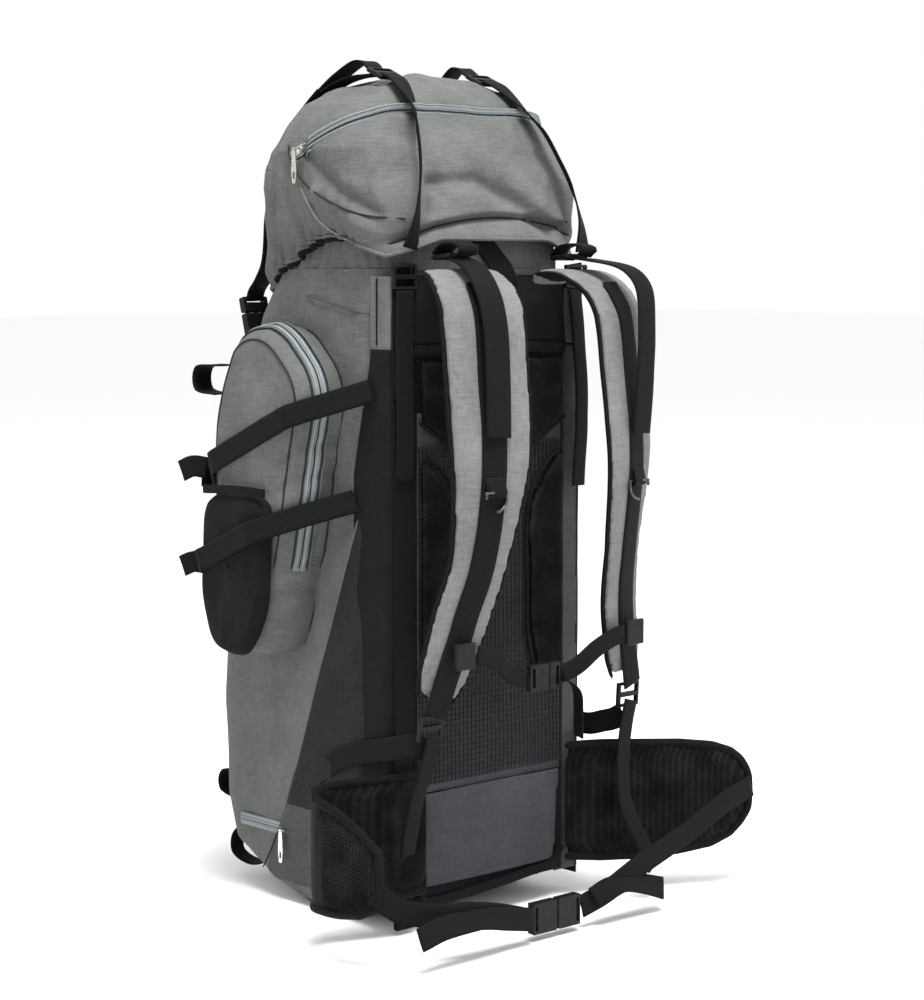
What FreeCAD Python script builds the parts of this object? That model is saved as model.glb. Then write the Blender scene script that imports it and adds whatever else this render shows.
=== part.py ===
"""Hiking backpack: soft bag on two aluminium stays, domed lid, harness, hip belt and side pockets.

Frame, in millimetres: +Z up, +X towards the wearer's right, and the harness faces -Y. The origin is
on the ground, under the middle of the bag's width. Left and right are the wearer's: left is -X.
"""
import FreeCAD, Part
import math
import os

V = FreeCAD.Vector

# ---------------------------------------------------------------- driving dimensions
bag_half_width = 140.0      # bag, side wall to middle
bag_back = -130.0           # outer face of the bag's back wall
bag_top = 712.0             # rim that the collar is sewn to
bag_depth = 325.0           # deepest section, back wall to front wall
bag_corner = 55.0           # upright corner radius
bag_wall = 3.0              # fabric, coating and padding of the bag
base_height = 2.0           # thickness of the base patch
collar_height = 78.0
collar_wall = 2.0
lid_height = 182.0          # lid's highest fabric above the hinge line
lid_wall = 3.0
lid_overhang = 16.0         # how far the lid's sides stand out past the bag
hinge_rise = 26.0           # lid hinge line above the bag's rim
pad_thickness = 12.0        # shoulder pads
pad_width = 94.0            # shoulder pad at the chest
back_pad_thickness = 8.0
strap_width = 25.0          # all webbing except the sternum strap
strap_thickness = 1.8
sternum_width = 20.0
buckle_side = 4.2           # plastic each side of a webbing slot
pocket_depth = 62.0         # side pocket, off the bag's side
pocket_wall = 2.5
pouch_depth = 16.0          # open pocket, off the side pocket
pouch_wall = 1.6
wing_thickness = 12.0       # hip belt wing
wing_height = 134.0         # hip belt wing at the bag
wing_reach = 200.0          # right wing, root to tip, measured along X
stay_width = 25.0
stay_thickness = 3.0
chain_pitch = 44.0          # daisy chain, stitch to stitch
chain_bulge = 8.0           # how far each of its loops stands off the bag
ring_wire = 1.5             # D-ring wire radius
ring_inside = 25.0          # D-ring inside width
gap = 0.4                   # clearance between a piece and what it lies on
seam = 0.05                 # how close two sewn pieces of one body come

pull_stand = 8.8            # a zip pull's eye above its tape

# ---------------------------------------------------------------- places worked out from them
side_x = bag_half_width
bag_front = bag_back + bag_depth
panel_face = bag_back - 3.0                     # outer face of the back panel
net_face = panel_face - 1.8
pad_face = net_face - back_pad_thickness
yoke_z = bag_top - 22.0
hinge_y = bag_back - 9.0
hinge_z = bag_top + hinge_rise
lid_top = hinge_z + lid_height
edge_x = side_x - 14.0                          # middle of the upright edge webbing
lumbar_top = 156.0
wing_top = 45.0 + wing_height
wing_root_x = side_x - 28.0
belt_y = -247.0                                 # plane of the hip belt's webbing
belt_buckle_z = 25.0
pocket_face = -side_x - pocket_depth
pouch_face = pocket_face - pouch_depth


# ---------------------------------------------------------------- shape helpers
def unit(vector):
    """The same direction, one long."""
    return vector * (1.0 / vector.Length)


def mirrored(shape):
    """The right-hand copy of a left-hand piece."""
    return shape.mirror(V(0, 0, 0), V(1, 0, 0))


def box(low, high):
    """A block between two corners."""
    size = [b - a for a, b in zip(low, high)]
    return Part.makeBox(size[0], size[1], size[2], V(*low))


def rounded_wire(corners, radius, place):
    """A closed wire through 2-D corners with arcs of one radius; place turns (u, v) into a point."""
    edges = []
    count = len(corners)
    joints = []
    for i, (u, v) in enumerate(corners):
        before = unit(V(corners[i - 1][0] - u, corners[i - 1][1] - v, 0))
        after = unit(V(corners[(i + 1) % count][0] - u, corners[(i + 1) % count][1] - v, 0))
        half = before.getAngle(after) / 2
        back = radius / math.tan(half)
        middle = unit(before + after) * (radius / math.sin(half) - radius)
        corner = V(u, v, 0)
        joints.append((corner + before * back, corner + middle, corner + after * back))
    for i, (start, middle, end) in enumerate(joints):
        points = [place(p.x, p.y) for p in (start, middle, end)]
        following = joints[(i + 1) % count][0]
        edges.append(Part.Arc(*points).toShape())
        edges.append(Part.LineSegment(points[2], place(following.x, following.y)).toShape())
    return Part.Wire(edges)


def moved_in(corners, distance):
    """A counter-clockwise polygon with every side moved inwards (outwards if negative)."""
    count = len(corners)
    result = []
    for i, (u, v) in enumerate(corners):
        a, b = corners[i - 1], corners[(i + 1) % count]
        first = unit(V(u - a[0], v - a[1], 0))
        second = unit(V(b[0] - u, b[1] - v, 0))
        inward = V(-first.y - second.y, first.x + second.x, 0)
        reach = distance / (1 + first.dot(second))
        result.append((u + inward.x * reach, v + inward.y * reach))
    return result


def section(z, half_width, back, front, radius, grow=0.0):
    """A level rounded rectangle, grown outwards on all sides."""
    x, r = half_width + grow, max(radius + grow, 2.0)
    corners = [(-x, back - grow), (x, back - grow), (x, front + grow), (-x, front + grow)]
    return rounded_wire(corners, r, lambda u, v: V(u, v, z))


def lofted(sections, grow=0.0, low=0.0, high=0.0):
    """A solid through level sections, grown sideways, with its two ends moved by low and high."""
    last = len(sections) - 1
    wires = []
    for i, (z, half_width, back, front, radius) in enumerate(sections):
        shift = low if i == 0 else high if i == last else 0.0
        wires.append(section(z + shift, half_width, back, front, radius, grow))
    return Part.makeLoft(wires, True, True)


def plate(corners, radius, y_front, y_back):
    """An upright plate facing -Y, from (x, z) corners given counter-clockwise as seen from -Y."""
    wire = rounded_wire(corners, radius, lambda u, v: V(u, y_front, v))
    return Part.Face(wire).extrude(V(0, y_back - y_front, 0))


def strap_frames(points, across):
    """Direction, width direction and face normal of a strap at each of its points."""
    frames = []
    last = len(points) - 1
    for i, point in enumerate(points):
        ahead = unit(points[min(i + 1, last)] - points[min(i, last - 1)])
        behind = unit(points[max(i, 1)] - points[max(i - 1, 0)])
        along = unit(ahead + behind)
        wide = across[i] if isinstance(across, list) else across
        wide = unit(wide - along * along.dot(wide))
        frames.append((along, wide, along.cross(wide), 1.0 / max(0.5, along.dot(ahead))))
    return frames


def strap(points, across, width=strap_width, thickness=strap_thickness):
    """A flat strap along a line of points; across is its width direction, width may vary."""
    sections = []
    for i, (along, wide, normal, stretch) in enumerate(strap_frames(points, across)):
        half = (width[i] if isinstance(width, list) else width) / 2
        out = normal * (thickness * stretch / 2)
        corners = [points[i] + wide * half + out, points[i] + wide * half - out,
                   points[i] - wide * half - out, points[i] - wide * half + out]
        sections.append(Part.makePolygon(corners + corners[:1]))
    return Part.makeLoft(sections, True, True)


def bent_strap(points, across, width=strap_width, thickness=strap_thickness):
    """A strap whose line stays in one plane, so that it may turn back on itself."""
    frames = strap_frames(points, across)
    start = across * (-width / 2)
    over = [p + start + n * (thickness * s / 2) for p, (_, _, n, s) in zip(points, frames)]
    under = [p + start - n * (thickness * s / 2) for p, (_, _, n, s) in zip(points, frames)]
    outline = over + under[::-1]
    return Part.Face(Part.makePolygon(outline + outline[:1])).extrude(across * width)


def lifted(points, across, distance):
    """The same line of points moved off along the strap's face normal."""
    frames = strap_frames(points, across)
    return [p + normal * (distance * stretch)
            for p, (along, wide, normal, stretch) in zip(points, frames)]


def placed(shape, origin, x_direction, z_direction):
    """A shape made about the origin, turned so its X and Z axes point as given, then moved."""
    x = unit(x_direction)
    y = unit(z_direction.cross(x))
    z = x.cross(y)
    matrix = FreeCAD.Matrix(x.x, y.x, z.x, origin.x, x.y, y.y, z.y, origin.y,
                            x.z, y.z, z.z, origin.z, 0, 0, 0, 1)
    return shape.transformed(matrix, True)


def ladder_lock(length=26.0, thickness=5.0, width=strap_width):
    """A flat adjuster with two webbing slots, lying in X-Y with the webbing running along Y."""
    half = width / 2 + buckle_side
    body = box((-half, -length / 2, -thickness / 2), (half, length / 2, thickness / 2))
    body = body.makeFillet(1.6, body.Edges)
    slot_half = width / 2 + gap
    bar = 2.4
    for low, high in ((-length / 2 + 3.0, -bar), (bar, length / 2 - 3.0)):
        body = body.cut(box((-slot_half, low, -thickness), (slot_half, high, thickness)))
    return body


def buckle_female(length, width, thickness=9.0):
    """The socket half of a side-release buckle: mouth towards +X, webbing bar at -X."""
    half = width / 2 + buckle_side
    body = box((0, -half, -thickness / 2), (length, half, thickness / 2))
    body = body.makeFillet(2.0, [e for e in body.Edges if e.BoundBox.XLength < 0.01])
    wall = 1.6
    mouth = box((11.0, -half + wall, -thickness / 2 + wall), (length + 1, half - wall, thickness / 2 - wall))
    slot = box((3.0, -width / 2 - gap, -thickness), (7.0, width / 2 + gap, thickness))
    return body.cut(mouth).cut(slot)


def buckle_male(tongue, length, width, thickness=9.0):
    """The prong half: three prongs towards -X from a body that carries the webbing bar."""
    half = width / 2 + buckle_side
    body = box((0, -half, -thickness / 2), (length, half, thickness / 2))
    body = body.makeFillet(2.0, [e for e in body.Edges if e.BoundBox.XLength < 0.01])
    body = body.cut(box((length - 7, -width / 2 - gap, -thickness), (length - 3, width / 2 + gap, thickness)))
    prong = thickness / 2 - 3.0
    reach = half - 3.6
    for low, high in ((-reach, -reach + 4.0), (-2.2, 2.2), (reach - 4.0, reach)):
        body = body.fuse(box((-tongue, low, -prong), (1.0, high, prong)))
    return body


def pull_tab(length=36.0):
    """A zip pull that hangs along -Z from a small eye at the origin, lying in X-Z, facing Y."""
    thickness = 1.6
    outline = [(-2.6, -length), (2.6, -length), (4.2, -length * 0.62), (2.6, 2.0), (-2.6, 2.0), (-4.2, -length * 0.62)]
    body = Part.Face(rounded_wire(outline, 1.2, lambda u, v: V(u, -thickness / 2, v)))
    body = body.extrude(V(0, thickness, 0))
    hole = Part.makeCylinder(1.1, 4 * thickness, V(0, -2 * thickness, 0), V(0, 1, 0))
    slot = box((-1.6, -thickness, -length + 5), (1.6, thickness, -length * 0.66))
    return body.cut(hole).cut(slot)


def zip_slider(length=13.0, width=8.0, height=4.6):
    """A zip slider lying on a plane: tape below it at z = 0, travel along X, bridge on top."""
    body = box((-length / 2, -width / 2, 0), (length / 2, width / 2, height - 2.2))
    body = body.makeFillet(0.9, [e for e in body.Edges if e.BoundBox.ZLength > 1])
    bridge = box((-length / 2 + 2, -1.1, height - 2.4), (length / 2 - 2, 1.1, height + 1.8))
    eye = box((-length / 2 + 3.4, -3, height - 2.2), (length / 2 - 3.4, 3, height + 0.4))
    return body.fuse(bridge.cut(eye))


def write(name, *solids):
    """Writes one node, and stops if any of its solids isn't sound."""
    pieces = [s for shape in solids for s in shape.Solids]
    for solid in pieces:
        if not solid.isValid() or not solid.isClosed() or solid.Volume <= 0:
            raise ValueError(name + " has an unsound solid")
    os.makedirs("parts", exist_ok=True)
    shape = pieces[0] if len(pieces) == 1 else Part.makeCompound(pieces)
    shape.exportStep("parts/" + name + ".step")
    print(name, len(pieces), round(sum(s.Volume for s in pieces) / 1000, 1), "cm3")


# ---------------------------------------------------------------- bag
def bag_sections():
    """Level sections of the bag: height, half width, back, front and corner radius."""
    front = bag_front
    top = bag_top
    return [
        (base_height, side_x - 12, bag_back + 80, front - 150, 32.0),
        (20.0, side_x - 4, bag_back + 34, front - 92, 44.0),
        (38.0, side_x - 1, bag_back, front - 52, bag_corner),
        (55.0, side_x, bag_back, front - 20, bag_corner),
        (105.0, side_x, bag_back, front - 6, bag_corner),
        (228.0, side_x, bag_back, front, bag_corner),
        (350.0, side_x, bag_back, front - 10, bag_corner),
        (top - 252, side_x, bag_back, front - 29, bag_corner),
        (top - 52, side_x, bag_back, front - 76, bag_corner),
        (top - 22, side_x - 2, bag_back, front - 88, bag_corner),
        (top, side_x - 5, bag_back, front - 95, bag_corner),
    ]


def front_at(z):
    """The bag's front wall at a height, along the straight runs between its sections."""
    sections = bag_sections()
    for (z0, _, _, y0, _), (z1, _, _, y1, _) in zip(sections, sections[1:]):
        if z <= z1:
            return y0 + (y1 - y0) * (z - z0) / (z1 - z0)
    return sections[-1][3]


def make_bag():
    """The main compartment, open at the top, with its base patch and collar."""
    sections = bag_sections()
    outside = lofted(sections)
    inside = lofted(sections, grow=-bag_wall, low=bag_wall, high=1.0)
    write("main_bag", outside.cut(inside))

    z, half_width, back, front, radius = sections[0]
    patch = Part.Face(section(0.0, half_width, back, front, radius, grow=-4.0))
    write("base_panel", patch.extrude(V(0, 0, base_height)))

    z, half_width, back, front, radius = sections[-1]
    rim = collar_sections()
    write("bag_collar", lofted(rim).cut(lofted(rim, grow=-collar_wall, low=-1.0, high=1.0)))


def collar_sections():
    """Level sections of the collar that closes the bag's mouth under the lid."""
    z, half_width, back, front, radius = bag_sections()[-1]
    return [
        (bag_top, half_width - 1, back + 1, front - 1, radius),
        (bag_top + 24, half_width - 4, back + 3, front - 5, radius),
        (bag_top + collar_height, half_width - 9, back + 6, front - 12, radius - 4),
    ]


def make_stays():
    """Two flat aluminium stays standing inside the back wall."""
    y = bag_back + bag_wall + gap
    low, high = 56.0, bag_top - 30
    stays = []
    for x in (-side_x * 0.42, side_x * 0.42):
        bar = box((x - stay_width / 2, y, low), (x + stay_width / 2, y + stay_thickness, high))
        stays.append(bar.makeFillet(6.0, [e for e in bar.Edges
                                          if e.BoundBox.YLength > 1 and e.BoundBox.ZLength < 0.01
                                          and e.BoundBox.XLength < 0.01]))
    write("frame_stays", *stays)


# ---------------------------------------------------------------- back panel
def make_back():
    """Back panel, net, foam pads, lumbar pad and the upright edge webbing."""
    half = edge_x - strap_width / 2 - 1.5
    panel = [(-half, 32), (half, 32), (half, bag_top - 4), (-half, bag_top - 4)]
    write("back_panel", plate(panel, 12.0, panel_face, bag_back - seam))

    pad_top = bag_top - 88
    net = [(-half + 6, lumbar_top + 3), (half - 6, lumbar_top + 3),
           (half - 6, pad_top - 100), (-half + 6, pad_top - 100)]
    write("vent_net", plate(net, 6.0, net_face, panel_face - seam))

    upper = [(-half + 2, pad_top - 76), (0, pad_top - 150), (half - 2, pad_top - 76),
             (half - 2, pad_top), (-half + 2, pad_top)]
    write("back_pad_upper", plate(upper, 8.0, pad_face, net_face - seam))

    column = [(-half + 2, 250), (-half + 44, 250), (-50, 330), (-50, pad_top - 178),
              (-half + 6, pad_top - 108), (-half + 2, pad_top - 112)]
    left = plate(column, 2.4, pad_face, net_face - seam)
    write("back_pad_left", left)
    write("back_pad_right", mirrored(left))

    lumbar = [(-half + 8, 40), (half - 8, 40), (half, lumbar_top), (-half, lumbar_top)]
    write("lumbar_pad", plate(lumbar, 10.0, panel_face - 6, panel_face - seam))

    low, high = 8.0, bag_top + 6
    edge = box((-edge_x - strap_width / 2, panel_face - 1.2, low),
               (-edge_x + strap_width / 2, bag_back - gap - 1.2, high))
    write("edge_straps", edge, mirrored(edge))


def make_haul_strap():
    """The haul strap, folded flat against the collar under the lid's rear flap."""
    before = panel_face - 2 * gap - strap_thickness / 2
    behind = bag_back - gap - strap_thickness / 2
    points = [V(26, before, yoke_z + 4), V(16, before, yoke_z + 18), V(4, before + 0.6, yoke_z + 28),
              V(-12, behind, yoke_z + 44), V(-20, behind, yoke_z + 62)]
    write("haul_strap", strap(points, V(1, 0, 0.9)))


# ---------------------------------------------------------------- side pockets
def pocket_outline():
    """The side pocket's sewn outline on the bag's side, as (y, z) corners."""
    return [(22, 284), (96, 296), (118, 345), (112, 560), (70, 646), (4, 652), (-62, 592), (-8, 350)]


def pocket_loft(grow, base_x, face_x):
    """The pocket's outer form between two planes of constant X."""
    base = moved_in(pocket_outline(), -grow)
    face = moved_in(pocket_outline(), 12.0 - grow)
    wires = [rounded_wire(base, 18.0, lambda u, v: V(base_x, u, v)),
             rounded_wire(face, 13.0, lambda u, v: V(face_x, u, v))]
    return Part.makeLoft(wires, True, True)


def pouch_outline():
    """The open pocket's outline on the side pocket's face, as (y, z) corners."""
    return [(36, 286), (86, 296), (103, 345), (100, 470), (-12, 470), (-2, 340)]


def make_side_pockets():
    """Zipped side pockets with their zips, and the open pocket on each one's lower front."""
    start = -side_x - gap
    outer = pocket_loft(0.0, start, pocket_face)
    inner = pocket_loft(-pocket_wall, start + 1.0, pocket_face + pocket_wall)
    pocket = outer.cut(inner)
    write("side_pocket_left", pocket)
    write("side_pocket_right", mirrored(pocket))

    band = pocket_loft(1.6, start, pocket_face).cut(pocket_loft(0.1, start + 1.0, pocket_face - 1.0))
    middle = -side_x - pocket_depth * 0.55
    tape = band.common(box((middle - 6, -200, 330), (middle + 6, 200, 700)))
    write("pocket_zips", tape, mirrored(tape))

    outline = pouch_outline()
    outside = rounded_wire(outline, 8.0, lambda u, v: V(pouch_face, u, v))
    inside = rounded_wire(moved_in(outline, pouch_wall), 6.4, lambda u, v: V(pouch_face + pouch_wall, u, v))
    body = Part.Face(outside).extrude(V(pouch_depth - gap, 0, 0))
    hollow = Part.Face(inside).extrude(V(pouch_depth + 1, 0, 0))
    pouch = body.cut(hollow)
    pouch = pouch.cut(box((pouch_face + pouch_wall, -8 + pouch_wall, 440), (pocket_face + 1, 98 - pouch_wall, 480)))
    write("open_pocket_left", pouch)
    write("open_pocket_right", mirrored(pouch))


def pocket_skin(grow):
    """The side, its pocket and its open pocket as one form, grown outwards, for straps to lie on."""
    flat = box((-side_x - grow, -150, 250), (-side_x + 1, 90, 680))
    pocket = pocket_loft(grow, -side_x + 0.5, pocket_face - grow)
    wire = rounded_wire(moved_in(pouch_outline(), -grow), 8.0, lambda u, v: V(pouch_face - grow, u, v))
    pouch = Part.Face(wire).extrude(V(pouch_depth + 2, 0, 0))
    return flat.fuse([pocket, pouch])


def make_compression_straps():
    """Two sloping straps round each side pocket, each with an adjuster at its front end."""
    straps, locks = [], []
    under = 1.6 + gap
    skin = pocket_skin(under + strap_thickness).cut(pocket_skin(under))
    skin = skin.cut(box((pocket_face + 30, 60, 200), (0, 200, 700)))
    across = V(0, 0.4, 1)
    for rear_y, rear_z in ((-108.0, 585.0), (-81.0, 466.0)):
        front_y = 200.0
        front_z = rear_z - (front_y - rear_y) * 0.42
        rise = strap_width / 2 / math.cos(math.atan(0.42))
        outline = [V(-300, rear_y, rear_z - rise), V(-300, front_y, front_z - rise),
                   V(-300, front_y, front_z + rise), V(-300, rear_y, rear_z + rise)]
        slab = Part.Face(Part.makePolygon(outline + outline[:1])).extrude(V(400, 0, 0))
        straps.append(skin.common(slab))
        y = pocket_outline()[2][0] + 14
        z = rear_z - (y - rear_y) * 0.42
        along = unit(V(0.78, 0.62, -0.2))
        centre = V(pocket_face + 26, y + 1, z)
        locks.append(placed(ladder_lock(), centre, across, across.cross(along)))
        end = centre + along * 14.5
        home = V(-side_x + 20, front_at(end.z) - 4, end.z - 4)
        straps.append(strap([end, end + along * 12, home + V(-12, 6, 1), home + V(2, 10, 0)], V(0, 0.1, 1)))
    write("compression_straps", *(straps + [mirrored(s) for s in straps]))
    lock = placed(ladder_lock(), V(-edge_x, panel_face - 1.2 - gap - 2.6, bag_top - 8), V(1, 0, 0), V(0, -1, 0))
    locks.append(lock)
    write("pack_locks", *(locks + [mirrored(s) for s in locks]))


def flat_loop(x, y, z, reach):
    """Points of a short loop of webbing that stands off a front-facing surface."""
    return [V(x, y + 1.6, z + 15), V(x, y + reach, z + 13), V(x, y + reach + 6, z), V(x, y + reach, z - 13),
            V(x, y + 1.6, z - 15)]


def make_front():
    """Daisy chains, tabs and loops on the front of the bag."""
    chains = []
    x = -side_x + 74
    steps = 6
    for low in (96.0, 96.0 + chain_pitch, 96.0 + 2 * chain_pitch):
        points = []
        for step in range(steps + 1):
            z = low + chain_pitch * step / steps
            bulge = chain_bulge * math.sin(math.pi * step / steps)
            points.append(V(x, front_at(z) + 1.4 + bulge, z))
        chains.append(bent_strap(points, V(1, 0, 0)))
    whole = chains[0].fuse(chains[1:])
    write("daisy_chains", whole, mirrored(whole))

    x = -side_x + 42
    y = front_at(108) + gap
    loops = [bent_strap(flat_loop(x, y, 108.0, 24.0), V(1, 0, 0))]
    loops.append(bent_strap(flat_loop(pocket_face + 18, pocket_outline()[3][0] - 7, 590.0, 34.0), V(1, 0, 0)))
    y = front_at(60)
    loops.append(bent_strap([V(x, y + 2, 60), V(x, y + 13, 56), V(x, y + 24, 42), V(x, y + 25, 26), V(x, y + 10, 18),
                             V(x, y - 10, 27)], V(1, 0, 0), width=20.0))
    write("front_loops", *(loops + [mirrored(loop) for loop in loops]))


# ---------------------------------------------------------------- lid
def lid_sections():
    """Level sections of the lid: height, half width, back, front and corner radius."""
    side = side_x - 10 + lid_overhang
    front = bag_front - 83
    back = hinge_y + 3
    top = lid_top
    return [
        (bag_top - 26, side, back, front + 1, 60.0),
        (bag_top + 10, side, back, front - 1, 60.0),
        (top - 155, side + 9, back - 1, front - 3, 60.0),
        (top - 120, side + 14, back + 9, front - 8, 62.0),
        (top - 80, side + 14, back + 25, front - 22, 66.0),
        (top - 50, side - 6, back + 40, front - 38, 62.0),
        (top - 30, side - 21, back + 54, front - 48, 55.0),
        (top - 15, side - 46, back + 70, front - 62, 40.0),
        (top - 5, side - 76, back + 86, front - 82, 30.0),
        (top, side - 106, back + 101, front - 102, 20.0),
    ]


def lid_form(grow=0.0):
    """The lid's outer form, grown outwards, from its hem to its crown."""
    return lofted(lid_sections(), grow=grow, low=-1.0 if grow else 0.0, high=grow)


def hem_cut(z_shift=0.0):
    """Everything under the lid's hem: high at the back and sides, low in front."""
    side_hem = hinge_z + 12 + z_shift
    profile = [(-400, hinge_z + z_shift), (-108, hinge_z + z_shift), (-30, side_hem), (14, side_hem - 2),
               (44, hinge_z - 18 + z_shift), (74, bag_top - 24 + z_shift), (400, bag_top - 24 + z_shift),
               (400, bag_top - 300), (-400, bag_top - 300)]
    wire = Part.makePolygon([V(-400, y, z) for y, z in profile + profile[:1]])
    return Part.Face(wire).extrude(V(800, 0, 0))


def make_lid():
    """Lid shell, its inner floor, zip, straps, adjusters and the prong halves of its buckles."""
    outside = lid_form()
    inside = lofted(lid_sections(), grow=-lid_wall, low=-1.0, high=-lid_wall)
    shell = outside.cut(inside).cut(hem_cut())
    write("lid_shell", shell)

    floor_z = bag_top + collar_height + 6
    slab = box((-400, -400, floor_z), (400, 400, floor_z + 1.5))
    inner = lofted(lid_sections(), grow=-lid_wall - seam, low=-1.0, high=-lid_wall - seam)
    write("lid_floor", inner.common(slab))

    centre = V(0, -10, lid_top - 81)
    rear = unit(V(0, -0.8986, 0.4388))
    normal = V(0, 0.4388, 0.8986)
    band = lid_form(1.7).cut(lid_form(0.1))
    slab = placed(box((-400, -400, -6), (400, 6, 6)), centre, V(1, 0, 0), normal)
    write("lid_zip", band.common(slab).common(box((-400, -400, floor_z), (400, centre.y + 4, lid_top + 50))))
    return centre, rear, normal


def strap_slab(start, end, width):
    """An upright slab over a straight line in plan, which cuts a strap out of a thin skin."""
    along = unit(V(end[0] - start[0], end[1] - start[1], 0))
    wide = V(-along.y, along.x, 0) * (width / 2)
    a, b = V(start[0], start[1], 0), V(end[0], end[1], 0)
    wire = Part.makePolygon([a + wide, b + wide, b - wide, a - wide, a + wide])
    return Part.Face(wire).extrude(V(0, 0, lid_top + 200))


def make_lid_straps():
    """Webbing over the lid with its adjusters, its front buckles and its spare tails at the rear."""
    under = 1.7 + gap
    skin = lid_form(under + strap_thickness).cut(lid_form(under))
    lock_y = bag_back + 87
    crown = lid_top - 4
    front_x = side_x - 30
    land = V(-84, 44, 0)
    low_front = bag_top - 20
    rear_strap = skin.common(strap_slab((-72, lock_y - 4), (-edge_x - 5, hinge_y - 12), strap_width))
    rear_strap = rear_strap.cut(box((-400, -400, 0), (400, 400, hinge_z + 1)))
    front_strap = skin.common(strap_slab((land.x, land.y), (-front_x, bag_front), strap_width))
    front_strap = front_strap.cut(box((-400, -400, 0), (400, 400, low_front)))
    hump = strap([V(-71, lock_y + 16, crown + 12), V(-70, lock_y + 29, crown + 20), V(-74, lock_y + 56, crown + 14),
                  V(-80, land.y - 12, crown), V(-83, land.y - 1.5, crown - 5)], V(1, 0.1, 0))
    lock = placed(ladder_lock(), V(-72, lock_y, crown + 6), V(1, 0, 0), V(0, -0.45, 1))
    write("lid_locks", lock, mirrored(lock))

    mouth_z = bag_top - 50
    y = front_at(mouth_z - 34) + 15.5
    up = unit(V(0, hinge_z - mouth_z, y - hinge_y))
    out = V(0, up.z, -up.y)
    mouth = V(-front_x, y, mouth_z)
    male = placed(buckle_male(18.0, 18.0, strap_width), mouth + up * 1.0, up, out)
    female = placed(buckle_female(32.0, strap_width), mouth - up * 32.0, up, out)
    low = mouth - up * 34.0
    write("lid_buckle_prongs", male, mirrored(male))
    write("lid_buckle_sockets", female, mirrored(female))
    web_points = [low + up * 1.0, low - up * 4.0]
    web_points += [V(-front_x, front_at(z) + 1.8, z) for z in (low.z - 16, low.z - 40)]
    web = strap(web_points, V(1, 0, 0))
    link = strap([V(-front_x, lid_sections()[0][3] + 8, low_front + 2), V(-front_x, y + 6, low_front - 3),
                  mouth + up * 19.5], V(1, 0, 0))
    straps = [rear_strap, front_strap, hump, link]
    write("lid_straps", *(straps + [mirrored(s) for s in straps]))
    top = bag_top - 24
    face = panel_face - 1.2 - gap - strap_thickness / 2
    tail = strap([V(-edge_x, face, top), V(-edge_x, face - 3, top - 60), V(-edge_x - 2, face - 6, top - 150),
                  V(-edge_x - 1, face - 4, top - 222)], V(1, 0, 0), width=strap_width - 2)
    write("lid_strap_ends", web, mirrored(web), tail, mirrored(tail))


def make_lid_slider(centre, rear, normal):
    """Slider and pull of the lid's zip, at the zip's left end."""
    radius = 90.0
    pivot = V(-side_x - 22.4 + radius, centre.y, centre.z)
    spot = pivot + V(-radius, 0, 0)
    slider = placed(zip_slider(), spot + V(0, 0, 0), rear, V(-1, 0, 0))
    write("lid_slider", slider)
    eye = spot + V(-pull_stand, 0, 0)
    write("lid_pull", placed(pull_tab(), eye, V(0, 1, 0), V(0, 0, 1)))
    print("lid zip pivot", pivot, "axis", normal, "pull eye", eye)


# ---------------------------------------------------------------- harness
def pad_route():
    """The left shoulder pad: points along its middle, their width directions and widths."""
    rows = [
        (-74, panel_face - 11, 2, 60, 0), (-75, panel_face - 25, 14, 70, 2), (-86, panel_face - 52, 17, 88, 8),
        (-95, -214, 2, 94, 14), (-99, -230, -25, 94, 16), (-101, -239, -90, 94, 16), (-102, -245, -142, 93, 16),
        (-103, -246, -193, 85, 16), (-106, -233, -277, 66, 16), (-118, -217, -341, 66, 14),
        (-134, -207, -400, 58, 10), (-142, -203, -426, 44, 8),
    ]
    points = [V(x, y, yoke_z + z) for x, y, z, width, turn in rows]
    widths = [width * pad_width / 94.0 for x, y, z, width, turn in rows]
    turns = [math.radians(turn) for x, y, z, width, turn in rows]
    across = [V(math.cos(t), -math.sin(t), 0) for t in turns]
    return points, across, widths


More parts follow.
